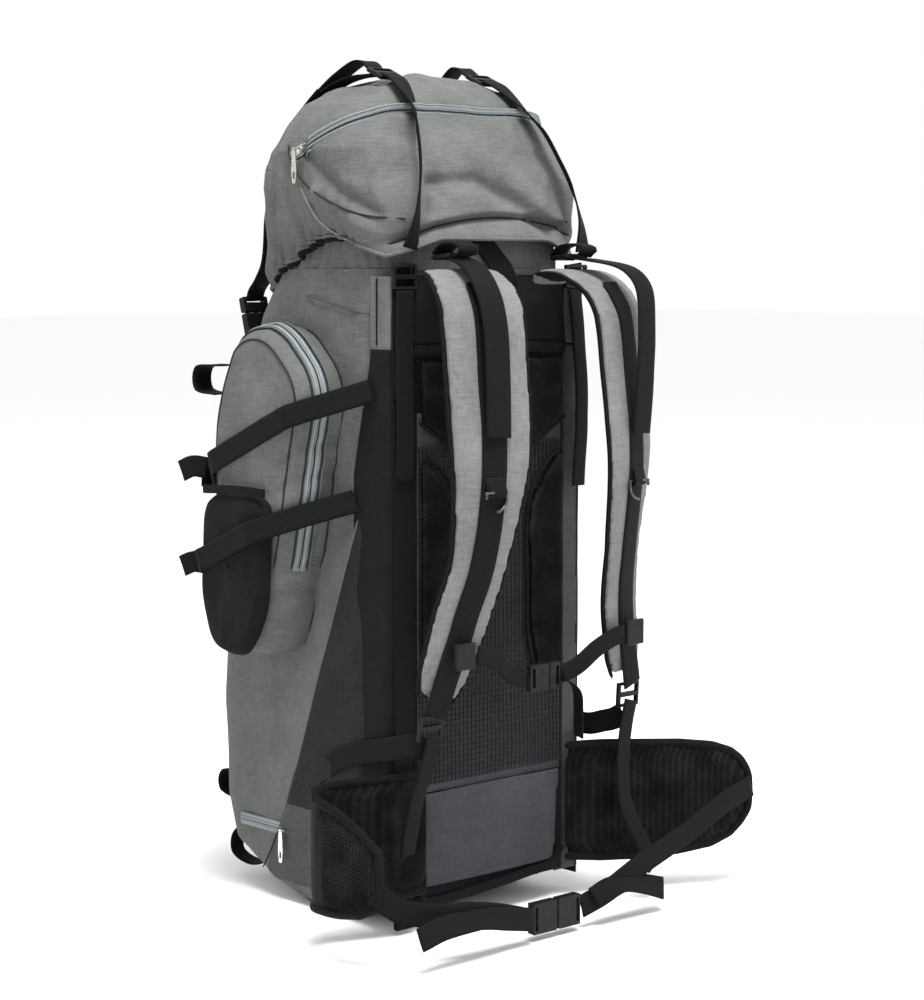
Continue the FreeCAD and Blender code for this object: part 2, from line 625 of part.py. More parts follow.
def make_shoulder_straps():
    """Shoulder pads, their webbing, D-rings, load lifters and lower adjusters."""
    points, across, widths = pad_route()
    pad = strap(points, across, width=widths, thickness=pad_thickness)
    write("shoulder_pad_left", pad)
    write("shoulder_pad_right", mirrored(pad))

    lift = pad_thickness / 2 + 2 * gap + strap_thickness / 2
    off = lifted(points, across, lift)
    if off[5].y > points[5].y:
        off = lifted(points, across, -lift)
    start = 3
    end = points[-1] + unit(points[-1] - points[-2]) * 16
    line = off[start:] + [end + V(0, -lift, 0)]
    webbing = strap(line, across[start:] + [across[-1]])
    ring_at = off[7] + V(0, -strap_thickness / 2 - 3.2, -12)
    keeper = box((ring_at.x - 10, ring_at.y - 3.0, ring_at.z - 3.2), (ring_at.x + 10, ring_at.y + 4.4, ring_at.z + 4.2))
    bore = Part.makeCylinder(ring_wire + gap, 40, ring_at - V(20, 0, 0), V(1, 0, 0))
    webbing = webbing.fuse(keeper).cut(bore)
    write("strap_webbings", webbing, mirrored(webbing))
    ring = d_ring(ring_at)
    write("d_ring_left", ring)
    write("d_ring_right", mirrored(ring))
    print("ring axis", ring_at)

    lower = points[-1] + V(-5, 1.5, -26)
    along = unit(points[-1] - lower)
    lock = placed(ladder_lock(28.0), lower, V(1, 0, 0), V(1, 0, 0).cross(along))
    top = yoke_z + 17 + pad_thickness / 2
    face = off[6].y
    left = [V(-84, panel_face - 16, top + 4), V(-88, panel_face - 54, top + 7), V(-97, -222, yoke_z + 12),
            V(-100, face + 2, yoke_z - 24), V(-101, face - 6, yoke_z - 90), V(-102, face - 6, yoke_z - 150)]
    right = [V(88, panel_face - 16, top + 4), V(94, panel_face - 60, top + 7), V(106, -240, yoke_z + 10),
             V(108, -256, yoke_z - 42), V(108, -263, yoke_z - 96), V(105, -263, yoke_z - 152)]
    write("load_lifters", strap(left, V(1, 0, 0)), strap(right, V(1, 0, 0)))
    hook = placed(ladder_lock(), V(-86, panel_face - 34, top + 12), V(1, 0, 0), V(0, 0.1, 1))
    write("harness_locks", lock, mirrored(lock), hook, mirrored(hook))
    return points, lower


def d_ring(bar):
    """A wire D hanging from its straight bar, which lies along X at the given middle."""
    half = ring_inside / 2 + ring_wire
    drop = 6.0
    left, right = bar + V(-half, 0, 0), bar + V(half, 0, 0)
    corner = V(0, 0, -drop)
    bottom = bar + V(0, -1.0, -drop - half)
    path = Part.Wire([Part.LineSegment(left, right).toShape(), Part.LineSegment(right, right + corner).toShape(),
                      Part.Arc(right + corner, bottom, left + corner).toShape(),
                      Part.LineSegment(left + corner, left).toShape()])
    profile = Part.Wire([Part.Circle(bar, V(1, 0, 0), ring_wire).toShape()])
    pieces = [Part.makeCylinder(ring_wire, 2 * half, left, V(1, 0, 0)),
              Part.makeSphere(ring_wire, left), Part.makeSphere(ring_wire, right),
              Part.makeCylinder(ring_wire, drop, left + corner, V(0, 0, 1)),
              Part.makeCylinder(ring_wire, drop, right + corner, V(0, 0, 1))]
    ring = Part.makeTorus(half, ring_wire, bar + corner, V(0, 1, 0), -180, 180, 180)
    lower = ring.common(box((bar.x - 40, bar.y - 10, bar.z - 60), (bar.x + 40, bar.y + 10, bar.z - drop)))
    return pieces[0].fuse(pieces[1:] + [lower])


def make_lower_webbing(points, lower):
    """The slack webbing from each lower adjuster back to the bag's side, and the spare tails."""
    side = -side_x - gap - strap_thickness / 2 - 0.4
    over = wing_top + 18
    low = lower.z
    left = [lower + V(-2, 7, -24.5), V(-151, -178, low - 20), V(side - 4, -142, low - 30), V(side, -100, low - 40),
            V(side, -50, low - 56), V(side, 10, low - 90)]
    right = [V(-lower.x + 1, lower.y + 7, low - 24.5), V(-side - 1.5, -182, low - 30), V(-side - 2, -164, max(over + 4, low - 38)),
             V(-side, -146, over), V(-side, -118, over - 3), V(-side, -60, over - 21), V(-side, 10, over - 49)]
    tail_left = [lower + V(0, -6.2, -6), V(-150, -208, low * 0.92), V(-156, -203, low * 0.8), V(-161, -192, low * 0.63),
                 V(-164, -184, low * 0.42)]
    tail_right = [V(-lower.x, lower.y - 5.6, low - 6), V(140, -206, low * 0.86), V(134, -207, low * 0.69),
                  V(136, -209, low * 0.5), V(152, -212, low * 0.34), V(175, -216, low * 0.16)]
    write("lower_webbings", strap(left, V(0, 0.35, 1)), strap(right, V(0, 0.35, 1)),
          strap(tail_left, V(1, 0.2, 0)), strap(tail_right, V(1, 0.2, 0)))


def make_sternum():
    """Sternum strap with its sliders, webbing and side-release buckle."""
    z, y = 278.0, -222.0
    female = placed(buckle_female(28.0, sternum_width, 8.0), V(-26, y, z), V(1, 0, 0), V(0, -1, 0))
    male = placed(buckle_male(14.0, 16.0, sternum_width, 8.0), V(2.6, y, z), V(1, 0, 0), V(0, -1, 0))
    write("sternum_socket", female)
    write("sternum_prongs", male)
    back_y = -232.0
    left = [V(-109, back_y, 314), V(-98, back_y, 312), V(-74, -229, 304), V(-52, y - 2, 286), V(-32, y, z + 1)]
    right = [V(24, y, z), V(44, y - 2, 285), V(68, -229, 302), V(96, back_y, 312), V(109, back_y, 314)]
    tail = [V(20, y - 5.6, z - 3), V(34, y - 8, 262), V(42, y - 6, 238), V(45, y - 5, 204)]
    write("sternum_webbing_left", strap(left, V(0, 0, 1), width=sternum_width))
    write("sternum_webbing_right", strap(right, V(0, 0, 1), width=sternum_width),
          strap(tail, V(0, 1, 0.2), width=sternum_width - 2, thickness=1.4))
    slider = box((-139, back_y - 2.5, 300), (-112.5, back_y + 2.5, 328))
    slider = slider.makeFillet(1.6, slider.Edges)
    write("sternum_sliders", slider, mirrored(slider))


# ---------------------------------------------------------------- hip belt
def make_hip_belt():
    """Hip belt wings, webbing, tails and side-release buckle."""
    low = wing_top - wing_height
    root = panel_face - 13.5
    rows = [(0, 0, 0, 0), (0.19, -12, -5, -1), (0.40, -34, -6, -3), (0.60, -55, -3, -5), (0.78, -73, 3, -10),
            (0.88, -84, 14, -18), (0.95, -90, 28, -30), (1.0, -95, 50, -55)]
    points, widths = [], []
    for share, y, lift, drop in rows:
        bottom, top = low + lift, wing_top + drop
        points.append(V(wing_root_x + wing_reach * share, root + y, (bottom + top) / 2))
        widths.append(top - bottom)
    write("hip_wing_right", strap(points, V(0, 0, 1), width=widths, thickness=wing_thickness))

    rows = [(0, 0, 0, 0), (-38, 4, -1, -1), (-72, 14, 0, -1), (-106, 26, 2, -3), (-128, 22, 4, -5), (-140, 2, 5, -8),
            (-139, -30, 6, -16), (-132, -58, 10, -34), (-122, -78, 20, -56)]
    points, widths = [], []
    for x, y, lift, drop in rows:
        bottom, top = low + lift, wing_top + drop
        points.append(V(-wing_root_x + x, root + y, (bottom + top) / 2))
        widths.append(top - bottom)
    write("hip_wing_left", strap(points, V(0, 0, 1), width=widths, thickness=wing_thickness))

    z = belt_buckle_z
    tip = wing_root_x + wing_reach
    right = [V(tip - 8, root - 103.5, 116), V(tip - 60, belt_y - 4, 104), V(tip - 120, belt_y - 4, 80), V(122, belt_y - 3, 57),
             V(66, belt_y, 33), V(32, belt_y, z)]
    left = [V(-52, belt_y, z + 1), V(-90, belt_y, 40), V(-132, belt_y + 2, 48), V(-176, belt_y + 8, 52),
            V(-214, belt_y + 14, 62), V(-244, belt_y + 21, 82)]
    female = placed(buckle_female(36.0, strap_width, 10.0), V(-46, belt_y, z), V(1, 0, 0), V(0, -1, 0))
    male = placed(buckle_male(20.0, 34.0, strap_width, 10.0), V(-9.0, belt_y, z), V(1, 0, 0), V(0, -1, 0))
    write("hip_socket", female)
    write("hip_prongs", male)
    tail_left = [V(-49, belt_y - 7.5, z + 2), V(-90, belt_y - 8.5, 36), V(-135, belt_y - 9, 41), V(-180, belt_y - 12, 41),
                 V(-214, belt_y - 15, 38)]
    tail_right = [V(44, belt_y - 5.5, 34), V(80, belt_y - 7, 42), V(110, belt_y - 8, 40), V(150, belt_y - 9, 26)]
    write("hip_webbing_left", strap(left, V(0, 0, 1)), strap(tail_left, V(0, 0.2, 1)))
    write("hip_webbing_right", strap(right, V(0, 0, 1)), strap(tail_right, V(0, 0.4, 1)))


# ---------------------------------------------------------------- other zips
def make_zip_sliders():
    """Sliders and pulls of the side pockets and of the bottom opening."""
    outline = pocket_outline()
    (low_y, low_z), (high_y, high_z) = outline[2:4]
    z = 418.0
    x = -side_x - pocket_depth * 0.55
    y = low_y + (high_y - low_y) * (z - low_z) / (high_z - low_z) - 12.0 * 0.55 + 2.4 + gap
    slider = placed(zip_slider(), V(x, y, z), V(0, 0, 1), V(0, 1, 0))
    write("pocket_slider_left", slider)
    write("pocket_slider_right", mirrored(slider))
    eye = V(x, y + pull_stand, z)
    pull = placed(pull_tab(28.0), eye, V(1, 0, 0), V(0, 0, 1))
    write("pocket_pull_left", pull)
    write("pocket_pull_right", mirrored(pull))
    print("pocket pull eye", eye)

    zip_z = 84.0
    tape = box((-side_x - gap - 1.4, 38, zip_z - 6), (-side_x - gap, 132, zip_z + 6))
    write("bottom_zip", tape)
    spot = V(-side_x - 2 * gap - 1.4, 49, zip_z)
    write("bottom_slider", placed(zip_slider(), spot, V(0, 1, 0), V(-1, 0, 0)))
    eye = spot + V(-pull_stand, 0, 0)
    write("bottom_pull", placed(pull_tab(), eye, V(0, 1, 0), V(0, 0, 1)))
    print("bottom pull eye", eye)


make_bag()
make_stays()
make_back()
make_haul_strap()
make_side_pockets()
make_compression_straps()
make_front()
lid_centre, lid_rear, lid_normal = make_lid()
make_lid_straps()
make_lid_slider(lid_centre, lid_rear, lid_normal)
pad_points, lower_lock = make_shoulder_straps()
make_lower_webbing(pad_points, lower_lock)
make_sternum()
make_hip_belt()
make_zip_sliders()
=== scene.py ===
"""A tall hiking backpack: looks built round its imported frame."""

import math

import bmesh
import bpy
from mathutils import Matrix, Vector, noise


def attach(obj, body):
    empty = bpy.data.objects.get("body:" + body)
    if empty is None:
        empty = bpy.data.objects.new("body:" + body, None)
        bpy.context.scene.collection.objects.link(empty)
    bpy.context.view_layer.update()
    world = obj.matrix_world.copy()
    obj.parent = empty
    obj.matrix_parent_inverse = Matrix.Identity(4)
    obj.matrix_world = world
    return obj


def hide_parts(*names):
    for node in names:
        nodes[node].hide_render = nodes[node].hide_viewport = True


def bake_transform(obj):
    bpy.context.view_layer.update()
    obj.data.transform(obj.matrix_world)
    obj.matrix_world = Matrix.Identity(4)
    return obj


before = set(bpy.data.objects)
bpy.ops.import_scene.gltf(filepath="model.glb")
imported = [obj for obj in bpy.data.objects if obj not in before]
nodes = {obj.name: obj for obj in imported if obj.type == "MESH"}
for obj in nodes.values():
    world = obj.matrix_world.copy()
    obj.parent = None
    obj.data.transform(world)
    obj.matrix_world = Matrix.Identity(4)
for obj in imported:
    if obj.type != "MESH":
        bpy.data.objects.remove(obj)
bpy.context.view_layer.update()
MM = 0.001


# ---------------------------------------------------------------- materials
def linear(colour):
    """An sRGB hex colour as the linear values that shaders take."""
    values = [int(colour[i:i + 2], 16) / 255 for i in (1, 3, 5)]
    return tuple(v / 12.92 if v <= 0.04045 else ((v + 0.055) / 1.055) ** 2.4 for v in values) + (1.0,)


def add(tree, kind, inputs=None, **settings):
    """Adds one node with its settings; inputs are plain values or sockets to link from."""
    node = tree.nodes.new("ShaderNode" + kind)
    for key, value in settings.items():
        setattr(node, key, value)
    for key, value in (inputs or {}).items():
        if isinstance(value, bpy.types.NodeSocket):
            tree.links.new(value, node.inputs[key])
        else:
            node.inputs[key].default_value = value
    return node


def started(name):
    material = bpy.data.materials.new(name)
    material.use_nodes = True
    material.node_tree.nodes.clear()
    return material, material.node_tree


def shaded(tree, amount, dark, light, low, high, bump, **inputs):
    """Colours a surface from dark to light by amount between low and high, and gives it its finish."""
    ramp = add(tree, "ValToRGB", {"Fac": amount})
    for stop, place, colour in zip(ramp.color_ramp.elements, (low, high), (dark, light)):
        stop.position, stop.color = place, linear(colour)
    values = {"Base Color": ramp.outputs["Color"], "Normal": bump.outputs["Normal"]}
    values.update({key.replace("_", " "): value for key, value in inputs.items()})
    shader = add(tree, "BsdfPrincipled", values)
    add(tree, "OutputMaterial", {"Surface": shader.outputs["BSDF"]})


def woven_polyester(name, dark, light, crumple=1.0, thread=1.5):
    """600-denier plain-weave polyester: matt, faintly streaked along both thread directions, softly rumpled.
    The real threads are 0.5 mm apart, drawn three times as coarse so that the streaks show."""
    material, tree = started(name)
    place = add(tree, "TexCoord").outputs["Object"]
    slub = 18.0
    weft = add(tree, "Mapping", {"Vector": place, "Scale": (1000 / slub, 1000 / slub, 1000 / thread)})
    warp = add(tree, "Mapping", {"Vector": place, "Scale": (1000 / thread, 1000 / thread, 1000 / slub)})
    streaks = [add(tree, "TexNoise", {"Vector": m.outputs[0], "Scale": 1.0, "Detail": 2.0}).outputs[0]
               for m in (weft, warp)]
    cloth = add(tree, "Math", {0: streaks[0], 1: streaks[1]}, operation="ADD")
    patches = add(tree, "TexNoise", {"Vector": place, "Scale": 1000 / 45, "Detail": 4.0, "Roughness": 0.6})
    tone = add(tree, "Math", {0: cloth.outputs[0], 1: patches.outputs[0]}, operation="ADD")
    tone = add(tree, "Math", {0: tone.outputs[0], 1: 1 / 3}, operation="MULTIPLY")
    folds = add(tree, "TexNoise", {"Vector": place, "Scale": 1000 / 38, "Detail": 3.0, "Distortion": 0.6})
    rumpled = add(tree, "Bump", {"Height": folds.outputs[0], "Strength": 0.55 * crumple, "Distance": 0.006})
    weave = add(tree, "Bump", {"Height": cloth.outputs[0], "Strength": 0.5, "Distance": 0.0006,
                               "Normal": rumpled.outputs["Normal"]})
    shaded(tree, tone.outputs[0], dark, light, 0.34, 0.66, weave, Roughness=0.85, IOR=1.5,
           Specular_IOR_Level=0.07, Sheen_Weight=0.02, Sheen_Roughness=0.5)
    return material


def woven_webbing(name, dark, light, rib=1.7):
    """Polyester webbing: close ribs across its length with a flat selvedge and a low sheen; rib tops painted lighter
    and grooves darker, painted highlight and shade, over random fuzz.
    """
    material, tree = started(name)
    flat = add(tree, "TexCoord").outputs["UV"]
    ribs = add(tree, "TexWave", {"Vector": flat, "Scale": 314 / rib, "Distortion": 0.0}, bands_direction="Y")
    cords = add(tree, "TexWave", {"Vector": flat, "Scale": 314 / 3.1, "Distortion": 0.0}, bands_direction="X")
    fuzz = add(tree, "TexNoise", {"Vector": flat, "Scale": 1000 / 2.2, "Detail": 3.0})
    height = add(tree, "Math", {0: ribs.outputs["Fac"], 1: cords.outputs["Fac"]}, operation="ADD")
    # Colour from the ribs' height: painted highlight on the rib tops, painted shade in the grooves; the fuzz is random
    # tone.
    tone = add(tree, "Math", {0: height.outputs[0], 1: fuzz.outputs[0]}, operation="ADD")
    tone = add(tree, "Math", {0: tone.outputs[0], 1: 1 / 3}, operation="MULTIPLY")
    bump = add(tree, "Bump", {"Height": height.outputs[0], "Strength": 0.6, "Distance": 0.0005})
    shaded(tree, tone.outputs[0], dark, light, 0.2, 0.85, bump, Roughness=0.7, IOR=1.5,
           Specular_IOR_Level=0.06, Sheen_Weight=0.01, Sheen_Roughness=0.4)
    return material


def spacer_mesh(name, dark, light, cell=3.6):
    """Knitted spacer mesh: rows of small open cells over foam, which read as fine slanting lines; the cells are painted
    darker than the knit round them, painted shade in the open cells, with a soft random tone.
    """
    material, tree = started(name)
    place = add(tree, "TexCoord").outputs["Object"]
    lean = add(tree, "Mapping", {"Vector": place, "Rotation": (0, math.radians(32), 0),
                                 "Scale": (1000 / cell, 1000 / cell, 1600 / cell)})
    cells = add(tree, "TexVoronoi", {"Vector": lean.outputs[0], "Scale": 1.0, "Randomness": 0.18})
    soft = add(tree, "TexNoise", {"Vector": place, "Scale": 1000 / 30, "Detail": 2.0})
    bump = add(tree, "Bump", {"Height": cells.outputs["Distance"], "Strength": 0.9, "Distance": 0.0014})
    # Cells darker than the knit round them: painted shade in the open cells, times a soft random tone.
    tone = add(tree, "Math", {0: cells.outputs["Distance"], 1: soft.outputs[0]}, operation="MULTIPLY")
    shaded(tree, tone.outputs[0], dark, light, 0.12, 0.52, bump, Roughness=0.85, IOR=1.5, Specular_IOR_Level=0.05)
    return material


def moulded_acetal(name, dark, light):
    """Injection-moulded acetal: satin black with a fine spark-eroded grain, lighter in rubbed patches here and there.
    """
    material, tree = started(name)
    place = add(tree, "TexCoord").outputs["Object"]
    grain = add(tree, "TexNoise", {"Vector": place, "Scale": 1000 / 0.8, "Detail": 2.0})
    rub = add(tree, "TexNoise", {"Vector": place, "Scale": 1000 / 9, "Detail": 4.0})
    bump = add(tree, "Bump", {"Height": grain.outputs[0], "Strength": 0.25, "Distance": 0.0002})
    shaded(tree, rub.outputs[0], dark, light, 0.35, 0.7, bump, Roughness=0.45, IOR=1.48, Specular_IOR_Level=0.15)
    return material


def plated_zinc(name, dark, light, roughness):
    """Die-cast zinc with a bright plating: sharp highlights, faintly clouded by handling."""
    material, tree = started(name)
    place = add(tree, "TexCoord").outputs["Object"]
    cloud = add(tree, "TexNoise", {"Vector": place, "Scale": 1000 / 4, "Detail": 4.0})
    bump = add(tree, "Bump", {"Height": cloud.outputs[0], "Strength": 0.12, "Distance": 0.0003})
    shaded(tree, cloud.outputs[0], dark, light, 0.3, 0.7, bump, Roughness=roughness, Metallic=1.0)
    return material


grey = woven_polyester("polyester_600d_grey", "#494b4a", "#60625f")
strap_grey = woven_polyester("polyester_600d_strap_grey", "#585a59", "#727471", crumple=0.7)
# One slate cloth in two copies: slate is darkened as painted shade for the side gores, slate_lit is the same cloth
# painted lighter as lit, for the lumbar pad and the net's backing.
slate = woven_polyester("polyester_600d_slate", "#17191b", "#26282b")
slate_lit = woven_polyester("polyester_600d_slate_lit_copy", "#313336", "#414346")
dark_grey = woven_polyester("polyester_600d_dark_grey", "#37393a", "#4a4c4c", crumple=1.4)
black = woven_polyester("polyester_600d_black", "#0c0d0e", "#161719")
web = woven_webbing("webbing_black", "#08090a", "#16181a")
binding = woven_webbing("grosgrain_binding_black", "#090a0b", "#141517", rib=1.2)
zip_grey = woven_webbing("zip_tape_light_grey", "#6b7172", "#90979a", rib=1.3)
# Dark cords along zips, seams and the lid's pleat: the seam where there is one, and painted shade in the groove along
# it.
zip_shade = woven_polyester("zip_seam_shadow", "#1d1f20", "#2b2d2e")
thread_grey = woven_webbing("stitching_grey", "#6e7271", "#8e9291", rib=2.4)
mesh_black = spacer_mesh("spacer_mesh_black", "#040405", "#212325")
net_black = moulded_acetal("net_cord_black", "#0c0d0f", "#1b1d20")
acetal = moulded_acetal("acetal_black", "#0b0c0d", "#161819")
steel_black = plated_zinc("wire_steel_blackened", "#3a3d40", "#5c5f63", 0.38)
zinc = plated_zinc("zinc_plated", "#b9b7af", "#e0ded6", 0.26)
bar_metal = plated_zinc("aluminium_rolled", "#9a9da0", "#b9bcbf", 0.36)


# ---------------------------------------------------------------- shape helpers
def wave(x, y, z, size, seed=0.0):
    """Smooth noise from -1 to 1 that changes over about size millimetres; size may differ by direction."""
    sx, sy, sz = size if isinstance(size, tuple) else (size, size, size)
    return noise.noise(Vector((x / sx + seed, y / sy - seed, z / sz + 0.7 * seed))) * 1.6


def folds(x, y, z, size, seed=0.0):
    """Rounded hills with narrow valleys between them, as slack cloth makes, from 0 to 1."""
    warp = 0.35 * wave(x, y, z, 90, seed + 5)
    return 1.0 - math.sqrt(abs(wave(x, y, z, size, seed) + warp * 0.4) + 0.02)


def fade(value, low, high):
    """0 up to low, 1 from high, smooth between; low may be above high."""
    t = min(1.0, max(0.0, (value - low) / (high - low)))
    return t * t * (3 - 2 * t)


def between(table, value):
    """The second column of a table at a value of its first, along straight runs."""
    for (a, p), (b, q) in zip(table, table[1:]):
        if value <= b:
            return p + (q - p) * max(0.0, (value - a) / (b - a))
    return table[-1][1]


def piece(name, bm, material, body, slot, wall=0.0, outward=0.0, stands_for=()):
    """Makes the object, with an even wall in millimetres if one is given, and sets it on its body."""
    mesh = bpy.data.meshes.new(name)
    bm.to_mesh(mesh)
    bm.free()
    for polygon in mesh.polygons:
        polygon.use_smooth = True
    obj = bpy.data.objects.new(name, mesh)
    bpy.context.scene.collection.objects.link(obj)
    for one in material if isinstance(material, list) else [material]:
        mesh.materials.append(one)
    if wall:
        solid = obj.modifiers.new("wall", "SOLIDIFY")
        solid.thickness, solid.offset = wall * MM, outward
    if body:
        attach(obj, body)
    if stands_for:
        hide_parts(*stands_for)
    return obj


def surface(across, along, place, size=(1.0, 1.0), wrap=False):
    """A grid of quads with place(u, v) in millimetres as its shape, and its own size as its UV map."""
    bm = bmesh.new()
    uv = bm.loops.layers.uv.new("UVMap")
    bmesh.ops.create_grid(bm, x_segments=across, y_segments=along, size=0.5)
    for face in bm.faces:
        for loop in face.loops:
            loop[uv].uv = (loop.vert.co.x * size[0] * MM, loop.vert.co.y * size[1] * MM)
    for vert in bm.verts:
        vert.co = Vector(place(vert.co.x + 0.5, vert.co.y + 0.5)) * MM
    if wrap:
        bmesh.ops.remove_doubles(bm, verts=bm.verts[:], dist=1e-6)
        bmesh.ops.recalc_face_normals(bm, faces=bm.faces[:])
    return bm


class Route:
    """A smooth line through points, by length in millimetres."""

    def __init__(self, points, spacing=5.0):
        pts = [Vector(p) for p in points]
        t = [0.0]
        for a, b in zip(pts, pts[1:]):
            t.append(t[-1] + (b - a).length)
        slopes = []
        for i in range(len(pts)):
            a, b = max(i - 1, 0), min(i + 1, len(pts) - 1)
            slopes.append((pts[b] - pts[a]) / (t[b] - t[a]))
        self.points, self.shares = [], []
        for i in range(len(pts) - 1):
            span = t[i + 1] - t[i]
            steps = max(2, int(span / spacing))
            for k in range(steps + (i == len(pts) - 2)):
                s = k / steps
                a = 2 * s ** 3 - 3 * s ** 2 + 1
                b = s ** 3 - 2 * s ** 2 + s
                c = -2 * s ** 3 + 3 * s ** 2
                d = s ** 3 - s ** 2
                self.points.append(pts[i] * a + slopes[i] * (b * span) + pts[i + 1] * c + slopes[i + 1] * (d * span))
                self.shares.append(i + s)
        self.last = len(self.points) - 1
        self.length = t[-1]

    def at(self, v):
        """Point, direction and place in the given points at a share of the line."""
        i = min(self.last - 1, int(v * self.last))
        s = v * self.last - i
        j, k = max(i - 1, 0), min(i + 2, self.last)
        ahead = (self.points[min(i + 1, k)] - self.points[j]) * (1 - s) + (self.points[k] - self.points[i]) * s
        return (self.points[i].lerp(self.points[i + 1], s), ahead.normalized(),
                self.shares[i] + (self.shares[i + 1] - self.shares[i]) * s)


def by_point(values, place):
    """A value, or one of several given at the route's points."""
    if not isinstance(values, list):
        return values
    i = min(len(values) - 2, int(place))
    s = place - i
    a, b = values[i], values[i + 1]
    return a.lerp(b, s) if isinstance(a, Vector) else a + (b - a) * s


def frame_at(route, v, across):
    point, along, place = route.at(v)
    wide = by_point(across, place)
    wide = (wide - along * along.dot(wide)).normalized()
    return point, along, wide, along.cross(wide), place


def vectors(across):
    return [Vector(a) for a in across] if isinstance(across, list) else Vector(across)


def ribbon(name, points, across, width=25.0, thick=1.8, material=None, body="pack", slot="webbing", bow=0.4,
           stands_for=(), spacing=4.0, lively=0.5):
    """A flat strap along a smooth line; its edges wander a little and its face is slightly bowed."""
    route, across = Route(points, spacing), vectors(across)
    seed = sum(points[0]) * 0.013

    def place(u, v):
        point, along, wide, face, at = frame_at(route, v, across)
        side = u - 0.5
        drift = lively * wave(v * route.length, 0, 0, 45, seed)
        lift = bow * (1 - 4 * side * side) + lively * 0.5 * wave(v * route.length, u * 12, 0, 30, seed + 3)
        return point + wide * (side * by_point(width, at) + drift) + face * lift

    widest = max(width) if isinstance(width, list) else width
    bm = surface(6, max(4, route.last), place, (widest, route.length))
    return piece(name, bm, material or web, body, slot, wall=thick, stands_for=stands_for)


def tube(name, points, radius, material, body, slot, squeeze=1.0, across=(1, 0.2, 0.1), spacing=4.0):
    """A round or flattened cord of cloth along a smooth line, closed at its ends."""
    route, across = Route(points, spacing), vectors(across)

    def place(u, v):
        point, along, wide, face, _ = frame_at(route, v, across)
        end = math.sqrt(max(0.0, 1 - abs(2 * v - 1) ** 60))
        a = math.tau * u
        return point + (wide * (math.cos(a) * radius) + face * (math.sin(a) * radius * squeeze)) * end

    bm = surface(8, max(6, route.last), place, (math.tau * radius, route.length), wrap=True)
    return piece(name, bm, material, body, slot)


def pad_form(points, across, widths, thick, lifts=0.0):
    """The closed form of a pad before it is filled: flat, with rounded edges and ends."""
    route, across = Route(points, 5.0), vectors(across)

    def place(u, v):
        point, along, wide, face, at = frame_at(route, v, across)
        end = (1 - abs(2 * v - 1) ** 40) ** 0.25
        a = math.tau * u
        c, s = math.cos(a), math.sin(a)
        x = math.copysign(abs(c) ** 0.3, c) * by_point(widths, at) / 2
        y = math.copysign(abs(s) ** 0.5, s) * by_point(thick, at) / 2
        return point + wide * by_point(lifts, at) + (wide * x * (0.9 + 0.1 * end) + face * y) * max(end, 0.02)

    return surface(48, route.last, place, wrap=True), route, across


def evaluated(obj):
    return bpy.data.meshes.new_from_object(obj.evaluated_get(bpy.context.evaluated_depsgraph_get()))


def filled(name, bm, cap, voxel=5.0, pressure=4.0):
    """Fills a closed form: an even remesh, then cloth under pressure, each point moving at most cap millimetres."""
    mesh = bpy.data.meshes.new(name)
    bm.to_mesh(mesh)
    bm.free()
    form = bpy.data.objects.new(name, mesh)
    bpy.context.scene.collection.objects.link(form)
    remesh = form.modifiers.new("even", "REMESH")
    remesh.mode, remesh.voxel_size = "VOXEL", voxel * MM
    form.data = evaluated(form)
    form.modifiers.clear()
    start = [(v.co.copy(), v.normal.copy()) for v in form.data.vertices]
    cloth = form.modifiers.new("filling", "CLOTH")
    cloth.settings.use_pressure = True
    cloth.settings.uniform_pressure_force = pressure
    cloth.settings.effector_weights.gravity = 0
    cloth.settings.quality = 4
    cloth.point_cache.frame_start, cloth.point_cache.frame_end = 1, 20
    for step in range(1, 21):
        bpy.context.scene.frame_set(step)
    form.data = evaluated(form)
    form.modifiers.clear()
    bpy.context.scene.frame_set(1)
    for vert, (home, normal) in zip(form.data.vertices, start):
        move = vert.co - home
        move -= normal * (0.9 * min(0.0, move.dot(normal)))
        vert.co = home + move
        if move.length > cap * MM:
            vert.co = home + move * (cap * MM / move.length)
    return form


def seams_in(form, distance_to_seam, depth, reach):
    """Draws a filled form in along its seams: distance_to_seam(point) is in millimetres."""
    mesh = form.data
    normals = [v.normal.copy() for v in mesh.vertices]
    for vert, normal in zip(mesh.vertices, normals):
        near = distance_to_seam(vert.co / MM) / reach
        if near < 3:
            vert.co -= normal * (depth * MM * math.exp(-near * near))


def pad(name, form, materials, choose, body, stands_for):
    """Finishes a filled form as a pad: choose(centre, normal) gives each face's material."""
    mesh = form.data
    for one in materials:
        mesh.materials.append(one)
    for polygon in mesh.polygons:
        polygon.use_smooth = True
        polygon.material_index = choose(polygon.center / MM, polygon.normal)
    form.name = name
    soft = form.modifiers.new("soft", "SUBSURF")
    soft.levels = soft.render_levels = 1
    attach(form, body)
    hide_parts(*stands_for)
    return form


def both(make):
    """Makes the left piece, then the right one, with side -1 and 1 for the sign of its X."""
    return [make("left", -1), make("right", 1)]


# ---------------------------------------------------------------- bag
TOP, BACK, SIDE = 712.0, -130.0, 140.0
# Height, half width, back, front and corner radius.
BAG = [(2, 128, -50, 45, 32), (20, 136, -96, 103, 44), (38, 139, BACK, 143, 55), (55, 140, BACK, 175, 55),
       (105, 140, BACK, 189, 55), (228, 140, BACK, 195, 55), (350, 140, BACK, 185, 55), (460, 140, BACK, 166, 55),
       (660, 140, BACK, 119, 55), (690, 138, BACK, 107, 55), (712, 135, BACK, 100, 55)]


def section_at(sections, z):
    """Half width, back, front and corner radius at a height."""
    for low, high in zip(sections, sections[1:]):
        if z <= high[0]:
            s = max(0.0, (z - low[0]) / (high[0] - low[0]))
            return [a + (b - a) * s for a, b in zip(low[1:], high[1:])]
    return list(sections[-1][1:])


